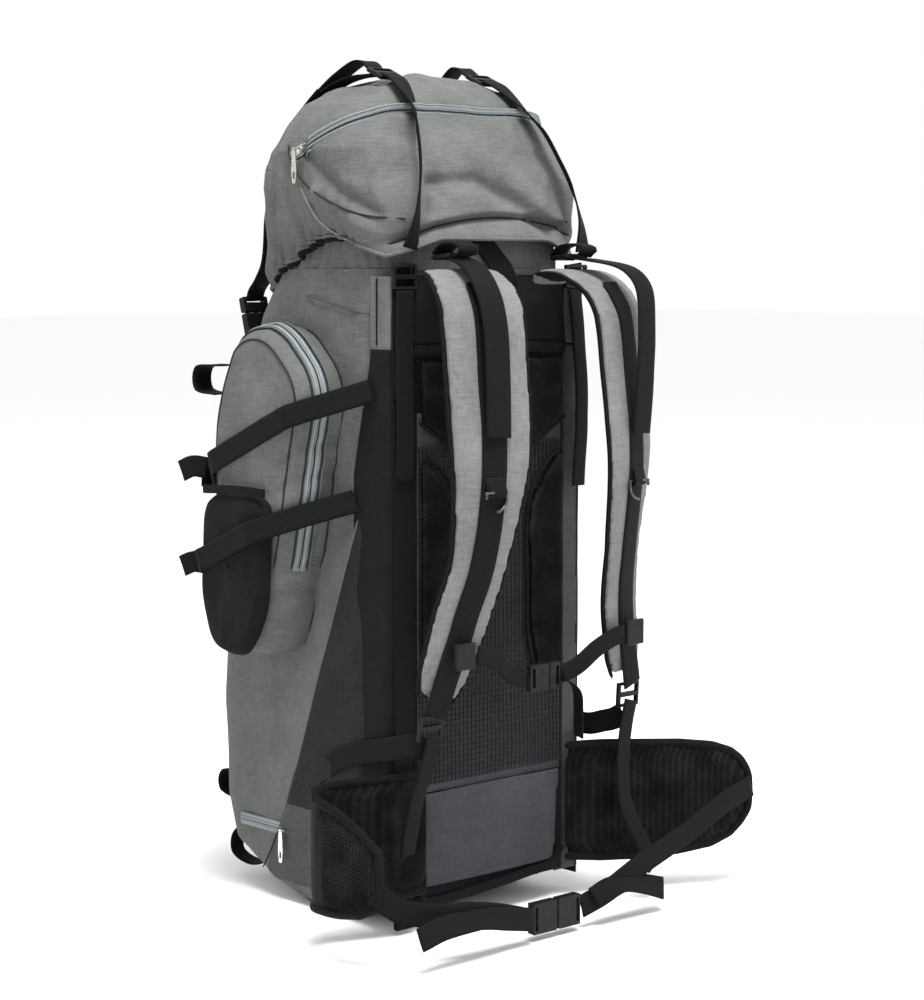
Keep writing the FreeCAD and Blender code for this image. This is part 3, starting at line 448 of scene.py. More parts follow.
def on_loop(half, back, front, radius, t):
    """Point and outward normal round a rounded rectangle, from the front's middle by the left and the back."""
    spans = [1.4, 1.5, 1.7, 1.5, 2.8, 1.5, 1.7, 1.5, 1.4]
    place = t * sum(spans)
    i = 0
    while i < 8 and place > spans[i]:
        place -= spans[i]
        i += 1
    s = place / spans[i]
    x, b, f = half - radius, back + radius, front - radius
    ends = {0: ((0, front), (-x, front)), 2: ((-half, f), (-half, b)), 4: ((-x, back), (x, back)),
            6: ((half, b), (half, f)), 8: ((x, front), (0, front))}
    if i in ends:
        (ax, ay), (bx, by) = ends[i]
        flat = {0: (0, 1), 2: (-1, 0), 4: (0, -1), 6: (1, 0), 8: (0, 1)}[i]
        return ax + (bx - ax) * s, ay + (by - ay) * s, flat[0], flat[1]
    cx, cy, start = {1: (-x, f, 90), 3: (-x, b, 180), 5: (x, b, 270), 7: (x, f, 0)}[i]
    a = math.radians(start + 90 * s)
    return cx + radius * math.cos(a), cy + radius * math.sin(a), math.cos(a), math.sin(a)


def front_at(z):
    return section_at(BAG, z)[2]


def bag_point(t, z, off=0.0):
    """The bag's skin: filled out a little between its seams, with slack folds low down and near the top."""
    half, back, front, radius = section_at(BAG, z)
    x, y, nx, ny = on_loop(half, back, front, radius, t)
    full = fade(y, BACK + 2, BACK + 60) * fade(z, 20, 120) * (1 - fade(z, 640, TOP))
    push = 4.0 * full * abs(nx) * (1 - abs(y - 30) / 200) + 5.0 * full * max(0.0, ny)
    slack = 1.4 + 2.2 * fade(z, 190, 60) + 1.6 * fade(z, 600, 700)
    push += slack * (folds(x, y, z, (70, 70, 150), 3.1) - 0.5) * fade(y, BACK, BACK + 14)
    push += 0.9 * wave(x, y, z, (28, 28, 46), 8.0) * fade(y, BACK, BACK + 20)
    push += off
    return x + nx * push, y + ny * push, z


def make_bag():
    def place(u, v):
        if v < 0.06:
            x, y, _ = bag_point(u, 2.0)
            s = v / 0.06
            return x * s, (y + 2) * s - 2, 2.0 + 4 * (1 - s)
        return bag_point(u, 2.0 + (v - 0.06) / 0.94 * (TOP - 2))

    bm = surface(220, 150, place, wrap=True)
    for face in bm.faces:
        centre = face.calc_center_median() / MM
        face.material_index = 1 if centre.z < 9 else 0
    piece("bag_body", bm, [grey, black], "pack", "grey_polyester", stands_for=("main_bag", "base_panel"))

    rim = [(TOP - 4, 135, BACK + 1, 99, 55), (TOP + 24, 131, BACK + 3, 95, 55), (TOP + 78, 126, BACK + 6, 88, 50)]

    def gathered(u, v):
        z = TOP - 4 + 82 * v
        x, y, nx, ny = on_loop(*section_at(rim, z), u)
        gather = 0.25 + 0.75 * fade(y, BACK, BACK + 40)
        push = 2.4 * math.sin(math.tau * 58 * u + 2 * wave(x, y, z, 60, 2)) * (0.3 + 0.7 * v) * gather - 1.5
        push += (1 - gather) * (4.0 * folds(x, y, z, (60, 60, 40), 2.8) + 3.0 * math.sin(math.pi * min(1, v * 1.6)))
        return x + nx * push, y + ny * push, z

    piece("bag_collar_gathered", surface(360, 16, gathered, wrap=True), grey, "pack", "grey_polyester", wall=1.2,
          stands_for=("bag_collar",))

    def panel(name, side, low, high, edge, material, off, slot):
        """A sewn panel on the bag's side from the back edge forward to edge(z), a length in Y."""
        def place(u, v):
            z = low + (high - low) * v
            y = BACK + 16 + (edge(z) - BACK - 16) * u
            half, back, front, radius = section_at(BAG, z)
            full = fade(y, BACK + 2, BACK + 60) * fade(z, 20, 120)
            lift = 4.0 * full * (1 - abs(y - 30) / 200) + 2.4 * (folds(0, y, z, (70, 70, 150), 3.1) - 0.5)
            beyond = max(0.0, back + radius - y, y - front + radius)
            inset = radius - math.sqrt(max(0.0, radius ** 2 - beyond ** 2))
            x = half - inset + lift * fade(y, BACK, BACK + 30) + off
            return side * x, y, z
        return piece(name, surface(30, 60, place), material, "pack", slot, wall=1.0)

    for word, side in (("left", -1), ("right", 1)):
        # The gores take the darkened copy of the slate cloth: painted shade.
        panel("side_gore_slate_" + word, side, 116, 585, lambda z: min(44, -98 + (489 - z) * 0.383), slate, 1.6,
              "slate_polyester")
        panel("side_low_panel_" + word, side, 24, 116, lambda z: 44 + (116 - z) * 0.52, dark_grey, 1.4,
              "grey_polyester")
        seam = [(side * (SIDE + 4.6), y, z) for y, z in ((-82, 446), (-60, 390), (-22, 291), (20, 180), (44, 118))]
        tube("gore_piping_" + word, seam, 1.1, grey, "pack", "grey_polyester")
        seam = [(side * (SIDE + 4.4), y, z) for y, z in ((44, 118), (58, 90), (80, 50), (92, 32))]
        tube("low_seam_" + word, seam, 0.8, black, "pack", "black_polyester")
        seam = [(side * x, y, z) for x, y, z in ((142, 10, 684), (143, -30, 676), (141, -70, 667), (133, -112, 663))]
        tube("shoulder_seam_" + word, seam, 0.8, dark_grey, "pack", "grey_polyester")
        # The low part is black round the back edge and carried forward onto the side: the black back edge, and painted
        # shade along the side's rear edge.
        for part, low, high, cloth, slot in (("low", 30, 630, black, "black_polyester"),
                                             ("high", 628, 704, grey, "grey_polyester")):
            def corner(u, v, low=low, high=high, side=side):
                """Round the bag's back edge: flat behind the edge webbing, then forward along the side."""
                z = low + (high - low) * v
                reach = min(50, 22 + 0.22 * max(0, 620 - z)) * fade(z, 20, 60)
                if u < 0.4:
                    x, y = 100 + 33 * u / 0.4, BACK - 1.4
                elif u < 0.6:
                    a = (u - 0.4) / 0.2 * math.pi / 2
                    x, y = 133 + 8 * math.sin(a), BACK + 6.6 - 8 * math.cos(a)
                else:
                    s = (u - 0.6) / 0.4
                    x, y = 141 + 1.6 * s, BACK + 6.6 + reach * s
                return side * (x + 0.8 * wave(0, y, z, 60, 7)), y, z
            bm = surface(30, 100, corner)
            for face in bm.faces:
                face.material_index = int(part == "low" and abs(face.calc_center_median().x) < 0.134)
            piece(f"back_corner_{part}_{word}", bm, [cloth, dark_grey], "pack", slot, wall=0.8)
        seam = [(side * 142.6, -112, z) for z in (704, 680, 655, 630)]
        tube("back_corner_seam_" + word, seam, 1.0, black, "pack", "black_polyester")
    for number, x in enumerate((-70, 70)):
        seam = [(x, front_at(z) + 5.4, z) for z in (90, 160, 228, 300, 400, 500, 600, 650)]
        tube(f"front_seam_{number}", seam, 0.8, dark_grey, "pack", "grey_polyester")


# ---------------------------------------------------------------- back panel
PANEL, HALF = BACK - 3.0, 112.0


def make_back():
    def flat(low, high, half_low, half_high, y, crumple=0.6):
        def place(u, v):
            z = low + (high - low) * v
            x = (2 * u - 1) * (half_low + (half_high - half_low) * v)
            return x, y + crumple * wave(x, 0, z, 50, 4), z
        return place

    piece("back_panel_cloth", surface(50, 120, flat(32, TOP - 6, HALF, HALF, BACK - 1.5)), black, "pack",
          "black_polyester", wall=3.0, stands_for=("back_panel",))
    yoke = flat(632, 703, HALF + 1, HALF - 6, PANEL - 1.0, 0.5)
    piece("yoke_black", surface(40, 16, yoke), black, "pack", "black_polyester", wall=1.6)
    band = [(-HALF, PANEL - 2.4, 626), (0, PANEL - 2.4, 628), (HALF, PANEL - 2.4, 626)]
    ribbon("yoke_seam_band", band, (0, 0, 1), 12, 1.4, black, slot="black_polyester", lively=0.3)

    piece("net_backing_cloth", surface(30, 50, flat(150, 560, 106, 106, PANEL - 0.9, 0.3)), slate_lit, "pack",
          "slate_polyester", wall=0.6)
    bm = bmesh.new()
    bmesh.ops.create_grid(bm, x_segments=36, y_segments=61, size=0.5)
    for vert in bm.verts:
        x, z = vert.co.x * 212, 159 + (vert.co.y + 0.5) * 365
        vert.co = Vector((x, PANEL - 3.0 - 2.0 * wave(x, 0, z, 80, 6) ** 2, z)) * MM
    net = piece("vent_net_cords", bm, net_black, "pack", "net", stands_for=("vent_net",))
    wires = net.modifiers.new("cords", "WIREFRAME")
    wires.thickness, wires.use_even_offset = 1.7 * MM, False

    y = PANEL - 1.8 - 4.0
    def mesh_side(centre, normal):
        return 0

    bm, _, _ = pad_form([(0, y, TOP - 90), (0, y, 590), (0, y, 549), (0, y, 516), (0, y, 480)], (1, 0, 0),
                        [220, 220, 216, 120, 26], 5.0)
    form = filled("upper", bm, 2.6)
    seams_in(form, lambda p: min(abs(abs(p.x) - 62 + (600 - p.z) * 0.3), abs(p.z - 580)), 1.6, 4.0)
    pad("back_pad_upper_mesh", form, [mesh_black], mesh_side, "pack", ("back_pad_upper",))
    for word, side in (("left", -1), ("right", 1)):
        rows = [(89, 252, 40), (80, 330, 58), (80, 380, 58), (80, 446, 58), (98, 496, 22), (106, 512, 8)]
        bm, _, _ = pad_form([(side * x, y, z) for x, z, w in rows], (1, 0, 0),
                            [float(w) for x, z, w in rows], 5.0)
        pad("back_pad_column_" + word, filled("column", bm, 2.4), [mesh_black], mesh_side, "pack",
            ("back_pad_" + word,))
        edge = [(side * x, y - 1.5, z) for x, z in ((68, 254), (52, 300), (50, 350), (50, 446), (66, 486), (100, 516))]
        tube("column_piping_" + word, edge, 1.9, binding, "pack", "black_polyester")
        chevron = [(side * x, y - 2.0, z) for x, z in ((110, 551), (60, 520), (14, 486), (0, 479))]
        tube("chevron_piping_" + word, chevron, 1.9, binding, "pack", "black_polyester")
    bm, _, _ = pad_form([(0, PANEL - 3.2, 38), (0, PANEL - 3.2, 80), (0, PANEL - 3.2, 157)], (1, 0, 0),
                        [204, 212, 224], 3.4)
    form = filled("lumbar", bm, 2.2)
    pad("lumbar_pad_cloth", form, [slate_lit], mesh_side, "pack", ("lumbar_pad",))
    hem = [(x, PANEL - out, z) for x, out, z in ((-106, 3.6, 40), (-98, 3.8, 30), (-50, 4, 30), (0, 4, 33), (60, 4, 38),
                                                 (92, 3.8, 42), (108, 3.4, 60))]
    ribbon("lumbar_hem_binding", hem, (0, 0, 1), 10, 2.4, binding, slot="black_polyester")

    x = -126
    ribbon("edge_webbing_left", [(x, PANEL + 0.1, 7), (x, PANEL, 120), (x + 1, PANEL - 0.4, 300), (x, PANEL, 500),
                                 (x - 1, PANEL - 0.3, 640), (x, PANEL, 718)], (1, 0, 0), 25, 1.8,
           stands_for=("edge_straps",))
    ribbon("edge_webbing_right", [(142.4, -112, 20), (143.4, -112, 120), (143.6, -112, 300), (143.6, -112, 500),
                                  (142.8, -116, 600), (137, -132, 655), (129, PANEL - 1, 695), (126, PANEL, 718)],
           [Vector(a) for a in ((0, 1, 0), (0, 1, 0), (0, 1, 0), (0, 1, 0), (0.2, 1, 0), (0.7, 0.7, 0), (1, 0.2, 0),
                                (1, 0, 0))])
    ribbon("edge_stitch_box_left", [(x, PANEL - 1.7, 574), (x, PANEL - 1.7, 601)], (1, 0, 0), 25, 1.4, lively=0.2)
    ribbon("edge_webbing_tab_left", [(x, PANEL - 1.5, 60), (x, PANEL - 1.8, 34), (x, PANEL - 2.6, 6)],
           (1, 0, 0), 25, 1.6, lively=0.4)
    ribbon("haul_strap_web", [(28, PANEL - 3.2, 694), (18, PANEL - 3.4, 710), (6, PANEL - 3, 722),
                              (-8, PANEL - 0.5, 738), (-18, PANEL + 3, 756)], (1, 0, 0.55),
           stands_for=("haul_strap",))


# ---------------------------------------------------------------- side pockets
# Corners of the side pocket's outline, as Y and height.
POCKET = [(22, 284), (96, 296), (118, 345), (112, 560), (70, 646), (4, 652), (-62, 592), (-8, 350)]
POCKET_X = 202.0
ADJUSTER_Y = 132.0      # where a compression strap enters its adjuster
STRAP_SLOPE = 0.42      # how steeply the compression straps fall towards the front


def rounded_outline(corners, radius):
    """Points about 4 mm apart round a polygon with rounded corners, with outward normals."""
    points = []
    count = len(corners)
    for i, (u, v) in enumerate(corners):
        here = Vector((u, v))
        before, after = Vector(corners[i - 1]) - here, Vector(corners[(i + 1) % count]) - here
        back = min(radius, before.length * 0.45, after.length * 0.45)
        start, end = here + before.normalized() * back, here + after.normalized() * back
        for k in range(9):
            s = k / 8
            points.append(start * (1 - s) ** 2 + here * (2 * s * (1 - s)) + end * s ** 2)
        following = Vector(corners[(i + 1) % count])
        onward = (Vector(corners[(i + 2) % count]) - following)
        far = min(radius, (following - here).length * 0.45, onward.length * 0.45)
        stop = following - after.normalized() * far
        steps = max(2, int((stop - end).length / 6))
        points += [end.lerp(stop, k / steps) for k in range(1, steps)]
    return points


def loop_at(points, t):
    place = (t % 1.0) * len(points)
    i = int(place) % len(points)
    a, b = points[i], points[(i + 1) % len(points)]
    ahead = (points[(i + 2) % len(points)] - points[i - 1]).normalized()
    return a.lerp(b, place - int(place)), Vector((ahead.y, -ahead.x))


def make_pockets():
    loop = rounded_outline(POCKET, 40.0)
    centre = Vector((48, 470))

    def skin(t, depth, off=0.0):
        """Depth 0 is the bag's side, 1 the rim of the pocket's face, 2 the middle of its face."""
        point, out = loop_at(loop, t)
        if depth <= 1:
            inset = 13 * depth ** 3 - 3 * math.sin(math.pi * depth)
            p = point - out * inset
            x = SIDE + 1 + (POCKET_X - SIDE - 5) * depth
            nx, n = depth * 0.3, out * (1 - 0.3 * depth)
        else:
            s = depth - 1
            p = (point - out * 13).lerp(centre, s)
            x = POCKET_X - 4 + 9 * math.sin(min(1.0, s * 1.6) * math.pi / 2)
            nx, n = 1.0, out * (0.5 * (1 - s))
        y, z = p
        lump = 2.6 * (folds(x, y, z, (50, 60, 95), 1.7) - 0.5) + 1.1 * wave(x, y, z, (24, 24, 40), 4.4)
        lump *= 0.35 + 0.65 * min(1.0, depth * 1.4)
        lump -= 4.0 * valley(y, z, ((-66, 402), (-30, 370), (22, 345), (46, 322)), 7)
        lump += 4.5 * valley(y, z, ((-70, 380), (-28, 335), (6, 300)), 10)
        for low_y, low_z, high_y, high_z in ((-14, 503, -54, 526), (-9, 470, -46, 494), (-4, 440, -42, 463),
                                             (-14, 388, -54, 410)):
            lump -= 2.4 * valley(y, z, ((low_y, low_z), (high_y, high_z)), 5)
        lump -= 1.6 * math.exp(-((depth - 0.98) / 0.05) ** 2)
        push = lump + off
        return x + nx * push, y + n.x * push, z + n.y * push

    def make(word, side):
        def place(u, v):
            x, y, z = skin(u, 1.97 * v)
            return side * x, y, z
        bm = surface(230, 60, place, wrap=True)
        bmesh.ops.holes_fill(bm, edges=[e for e in bm.edges if e.is_boundary and e.verts[0].co.x * side > 0.19])
        piece("side_pocket_cloth_" + word, bm, grey, "pack", "grey_polyester", stands_for=("side_pocket_" + word,))

        def on_skin(t, depth, off):
            x, y, z = skin(t, depth, off)
            return side * x, y, z

        def line(depth, off, shares):
            return [on_skin(t, depth, off) for t in shares]

        zip_start, zip_share = 0.17, 0.75
        tape = surface(6, 200, lambda u, v: on_skin(zip_start + zip_share * v, 0.42 + 0.26 * u, 0.9), (14, 900))
        piece("pocket_zip_tape_" + word, tape, zip_grey, "pack", "zip_tape", wall=0.8, stands_for=("pocket_zips",))
        shares = [zip_start + zip_share * k / 60 for k in range(61)]
        # The thin dark cords between the raised zip lines are painted shade in the grooves; those along the pocket's
        # rim and base are the seams and painted shade in the joins.
        lines = ((0.36, 1.3, grey), (0.42, 0.9, zip_shade), (0.50, 1.5, zip_grey),
                 (0.57, 0.9, zip_shade), (0.64, 1.5, zip_grey), (0.72, 1.0, zip_shade))
        for number, (depth, radius, cloth) in enumerate(lines):
            tube(f"pocket_zip_line_{number}_{word}", line(depth, 1.5, shares), radius, cloth, "pack", "zip_tape",
                 spacing=6)
        tube("pocket_rim_seam_and_shade_" + word, line(0.99, 0.2, shares), 1.0, zip_shade, "pack", "grey_polyester", spacing=6)
        all_round = [k / 70 for k in range(71)]
        tube("pocket_base_seam_and_shade_" + word, line(0.02, 1.2, all_round), 1.4, zip_shade, "pack", "grey_polyester",
             spacing=6)

        outline = rounded_outline([(36, 286), (88, 296), (106, 345), (101, 470), (-11, 472), (-2, 340)], 34.0)
        heart = Vector((46, 390))

        def pouch(u, v):
            point, out = loop_at(outline, u)
            if v <= 0.3:
                s = v / 0.3
                p, x = point - out * (6 * s * s), POCKET_X + 1 + 15 * s
            else:
                s = (v - 0.3) / 0.7
                p, x = (point - out * 6).lerp(heart, s * 0.98), POCKET_X + 16 + 4 * s
            x += 2.2 * wave(0, p.x, p.y, (30, 30, 60), 2.2) * min(1, v * 3)
            if p.y > 455:
                x -= (p.y - 455) * 0.25
            return side * x, p.x, p.y
        piece("open_pocket_cloth_" + word, surface(120, 26, pouch, wrap=True), black, "pack", "black_polyester",
              stands_for=("open_pocket_" + word,))
        hem = [(side * (POCKET_X + 14), 98, 471), (side * (POCKET_X + 15), 60, 473), (side * (POCKET_X + 15), 20, 474),
               (side * (POCKET_X + 12), -9, 473)]
        ribbon("open_pocket_hem_" + word, hem, (0, 0, 1), 9, 3.0, binding, slot="black_polyester", lively=0.4)
    both(make)

    def cover_x(y, z, over_pouch):
        """How far out a taut strap lies where it crosses the bag's side, the pocket or the pouch on it."""
        here = Vector((y, z))
        near = min(range(len(loop)), key=lambda i: (loop[i] - here).length_squared)
        ahead = loop[(near + 1) % len(loop)] - loop[near - 1]
        out = Vector((ahead.y, -ahead.x))
        inside = -(here - loop[near]).dot(out.normalized())
        rise = math.sin(min(1.0, max(0.0, (inside + 8) / 26)) * math.pi / 2)
        x = SIDE + 7 + (POCKET_X - SIDE) * rise
        if over_pouch:
            x += 18 * fade(y, -18, 4) * (1 - fade(y, 96, 112))
        return x

    def strap_over(word, side):
        for number, (rear_y, rear_z) in enumerate(((-108, 585), (-81, 466))):
            under = []
            for k in range(49):
                y = rear_y + (ADJUSTER_Y - rear_y) * k / 48
                here = (y, cover_x(y, rear_z - (y - rear_y) * STRAP_SLOPE, number == 1))
                while len(under) > 1 and (under[-1][1] - under[-2][1]) * (here[0] - under[-2][0]) <= (
                        here[1] - under[-2][1]) * (under[-1][0] - under[-2][0]):
                    under.pop()
                under.append(here)
            points = [(side * between(under, y), y, rear_z - (y - rear_y) * STRAP_SLOPE)
                      for y in [rear_y + (ADJUSTER_Y - rear_y) * k / 24 for k in range(25)]]
            ribbon(f"compression_strap_{number}_{word}", points, (0, 0.35, 1), lively=0.6)
            y = ADJUSTER_Y
            z = rear_z - (y - rear_y) * STRAP_SLOPE
            front = front_at(z - 8)
            end = [(side * (POCKET_X - 15), y + 10, z - 3), (side * 168, y + 8, z - 5), (side * 146, front - 40, z - 8),
                   (side * 131, front - 15, z - 8), (side * 102, front + 3, z - 8)]
            ribbon(f"compression_end_{number}_{word}", end, (0, 0.1, 1))
            tab = [(side * (POCKET_X - 14), y - 1, z + 6), (side * (POCKET_X - 4), y + 12, z + 8),
                   (side * (POCKET_X + 2), y + 26, z + 2)]
            ribbon(f"compression_tail_{number}_{word}", tab, (0, 0.2, 1), 24, 1.8)
    both(strap_over)
    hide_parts("compression_straps")


# ---------------------------------------------------------------- front
def make_front():
    def make(word, side):
        x = side * 66.0
        chain = []
        for k in range(3):
            low = 96 + 44 * k
            for step in range(6):
                z = low + 44 * step / 6
                chain.append((x, front_at(z) + 6.4 + 7 * math.sin(math.pi * step / 6), z))
        chain.append((x, front_at(228) + 6.4, 228))
        ribbon("daisy_chain_web_" + word, chain, (1, 0, 0), lively=0.2)
        x = side * 98.0
        y = front_at(108) + 3
        ribbon("low_tab_web_" + word, [(x, y, 124), (x, y + 22, 122), (x, y + 30, 110), (x, y + 26, 98), (x, y, 92)],
               (1, 0, 0), lively=0.2)
        y = front_at(60)
        loop = [(x, y + 3, 60), (x, y + 14, 57), (x, y + 26, 44), (x + side * 3, y + 20, 26), (x, y - 12, 18),
                (x, front_at(30) - 3, 31)]
        ribbon("bottom_loop_web_" + word, loop, (1, 0.1, 0.1), 18, 1.8, lively=0.6)
        x, y = side * (POCKET_X - 18), 104
        tab = [(x, y, 606), (x, y + 34, 604), (x, y + 41, 592), (x, y + 36, 578), (x, y, 574)]
        ribbon("upper_tab_web_" + word, tab, (1, 0, 0), lively=0.2)
    both(make)
    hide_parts("daisy_chains")
    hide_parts("front_loops")


# ---------------------------------------------------------------- lid
LID_TOP = 920.0
# Height, half width, back, front and corner radius.
LID = [(680, 140, -141, 110, 58), (712, 148, -140, 111, 60), (738, 149, -137, 110, 60), (765, 155, -137, 109, 60),
       (800, 160, -127, 104, 62), (840, 160, -111, 90, 66), (870, 143, -97, 76, 62), (890, 127, -82, 64, 55),
       (905, 101, -67, 51, 40), (915, 70, -50, 30, 30), (920, 42, -36, 12, 18)]


def lid_hem(x, y):
    """Height of the lid's lower edge: a flap behind that rises in the middle, and gathered sides."""
    side = between([(-141, 728), (-118, 726), (-95, 736), (-70, 744), (-40, 748), (-15, 746), (9, 737), (36, 721),
                    (63, 712), (80, 694), (112, 684)], y)
    behind = 744 - 14 * fade(abs(x), 70, 136) - 12 * fade(x, 60, 130)
    return behind + (side - behind) * fade(y, -139, -120)


def valley(x, z, points, width):
    """How near a point of the lid's back is to a fold line, from 0 to 1."""
    best = 1e9
    for (ax, az), (bx, bz) in zip(points, points[1:]):
        dx, dz = bx - ax, bz - az
        s = min(1.0, max(0.0, ((x - ax) * dx + (z - az) * dz) / (dx * dx + dz * dz)))
        best = min(best, math.hypot(x - ax - s * dx, z - az - s * dz))
    return math.exp(-(best / width) ** 2)


def pleat_height(x):
    """Height of the pleat across the lid's back."""
    return 767 - 0.0012 * x * x + 0.04 * x


def lid_point(t, v, off=0.0):
    """The lid's skin, round and up, with its gathers, its pleat and its larger folds."""
    half, back, front, radius = section_at(LID, 712)
    x0, y0, _, _ = on_loop(half, back, front, radius, t)
    low = lid_hem(x0, y0)
    if v > 0.94:
        s = 1 - (v - 0.94) / 0.06
        x, y, nx, ny = on_loop(*section_at(LID, LID_TOP), t)
        return x * s, -12 + (y + 12) * s, LID_TOP + 1.5 * (1 - s * s) + off
    rise = v / 0.94
    z = low + (LID_TOP - low) * (1 - (1 - rise) ** 1.35)
    x, y, nx, ny = on_loop(*section_at(LID, z), t)
    up = fade(z, 790, 915)
    above = z - low
    at_side = fade(abs(nx), 0.55, 0.95)
    s = y * 0.9 + x * 0.2
    ruffle = 5.5 * math.sin(math.tau * s / 17 + 2.2 * wave(x, y, 0, 40, 9)) * math.exp(-above / 26)
    pull_in = 9.0 * math.exp(-above / 20)
    push = at_side * (ruffle * fade(y, -95, -60) - pull_in * fade(y, -95, -60))
    slack = 3.4 - 1.6 * up
    push += slack * (folds(x, y, z, (60, 60, 85), 6.3) - 0.55) * 1.5 + 1.3 * wave(x, y, z, (26, 26, 38), 1.2)
    back_face = fade(-ny, 0.6, 0.95)
    line = pleat_height(x)
    push += back_face * (5.0 * fade(z, line - 1, line + 7) - 6.0 * math.exp(-((z - line) / 4.0) ** 2))
    push += back_face * 11.0 * (1 - fade(z, low, line)) * fade(line - z, 0, 5)
    push -= back_face * 8.0 * valley(x, z, ((-80, 801), (-15, 806), (40, 781), (84, 752)), 9)
    push -= back_face * 7.0 * valley(x, z, ((96, 835), (112, 790), (124, 760)), 10)
    push -= back_face * 6.0 * valley(x, z, ((-92, 850), (-70, 790), (-84, 772)), 11)
    push += back_face * 6.0 * valley(x, z, ((-20, 840), (34, 812), (70, 778)), 14)
    push -= at_side * 6.0 * valley(y, z, ((-10, 838), (-60, 800), (-110, 772), (-141, 766)), 7)
    push += at_side * 7.0 * valley(y, z, ((-30, 792), (-70, 768), (-115, 748)), 12)
    push -= at_side * 6.0 * valley(y, z, ((52, 850), (48, 790), (60, 742)), 8)
    push -= at_side * 5.0 * valley(y, z, ((20, 838), (24, 790), (10, 755)), 7)
    push += off
    return x + nx * push * (1 - 0.6 * up), y + ny * push * (1 - 0.6 * up), z + push * 0.8 * up


def lid_height(t, z):
    """The share up the lid's side where it reaches a height."""
    low, high = 0.0, 0.94
    for _ in range(24):
        middle = (low + high) / 2
        low, high = (middle, high) if lid_point(t, middle)[2] < z else (low, middle)
    return low


def lid_line(places, off):
    """Points on the lid's skin from (share round, height) pairs."""
    return [lid_point(t, lid_height(t, z), off) for t, z in places]


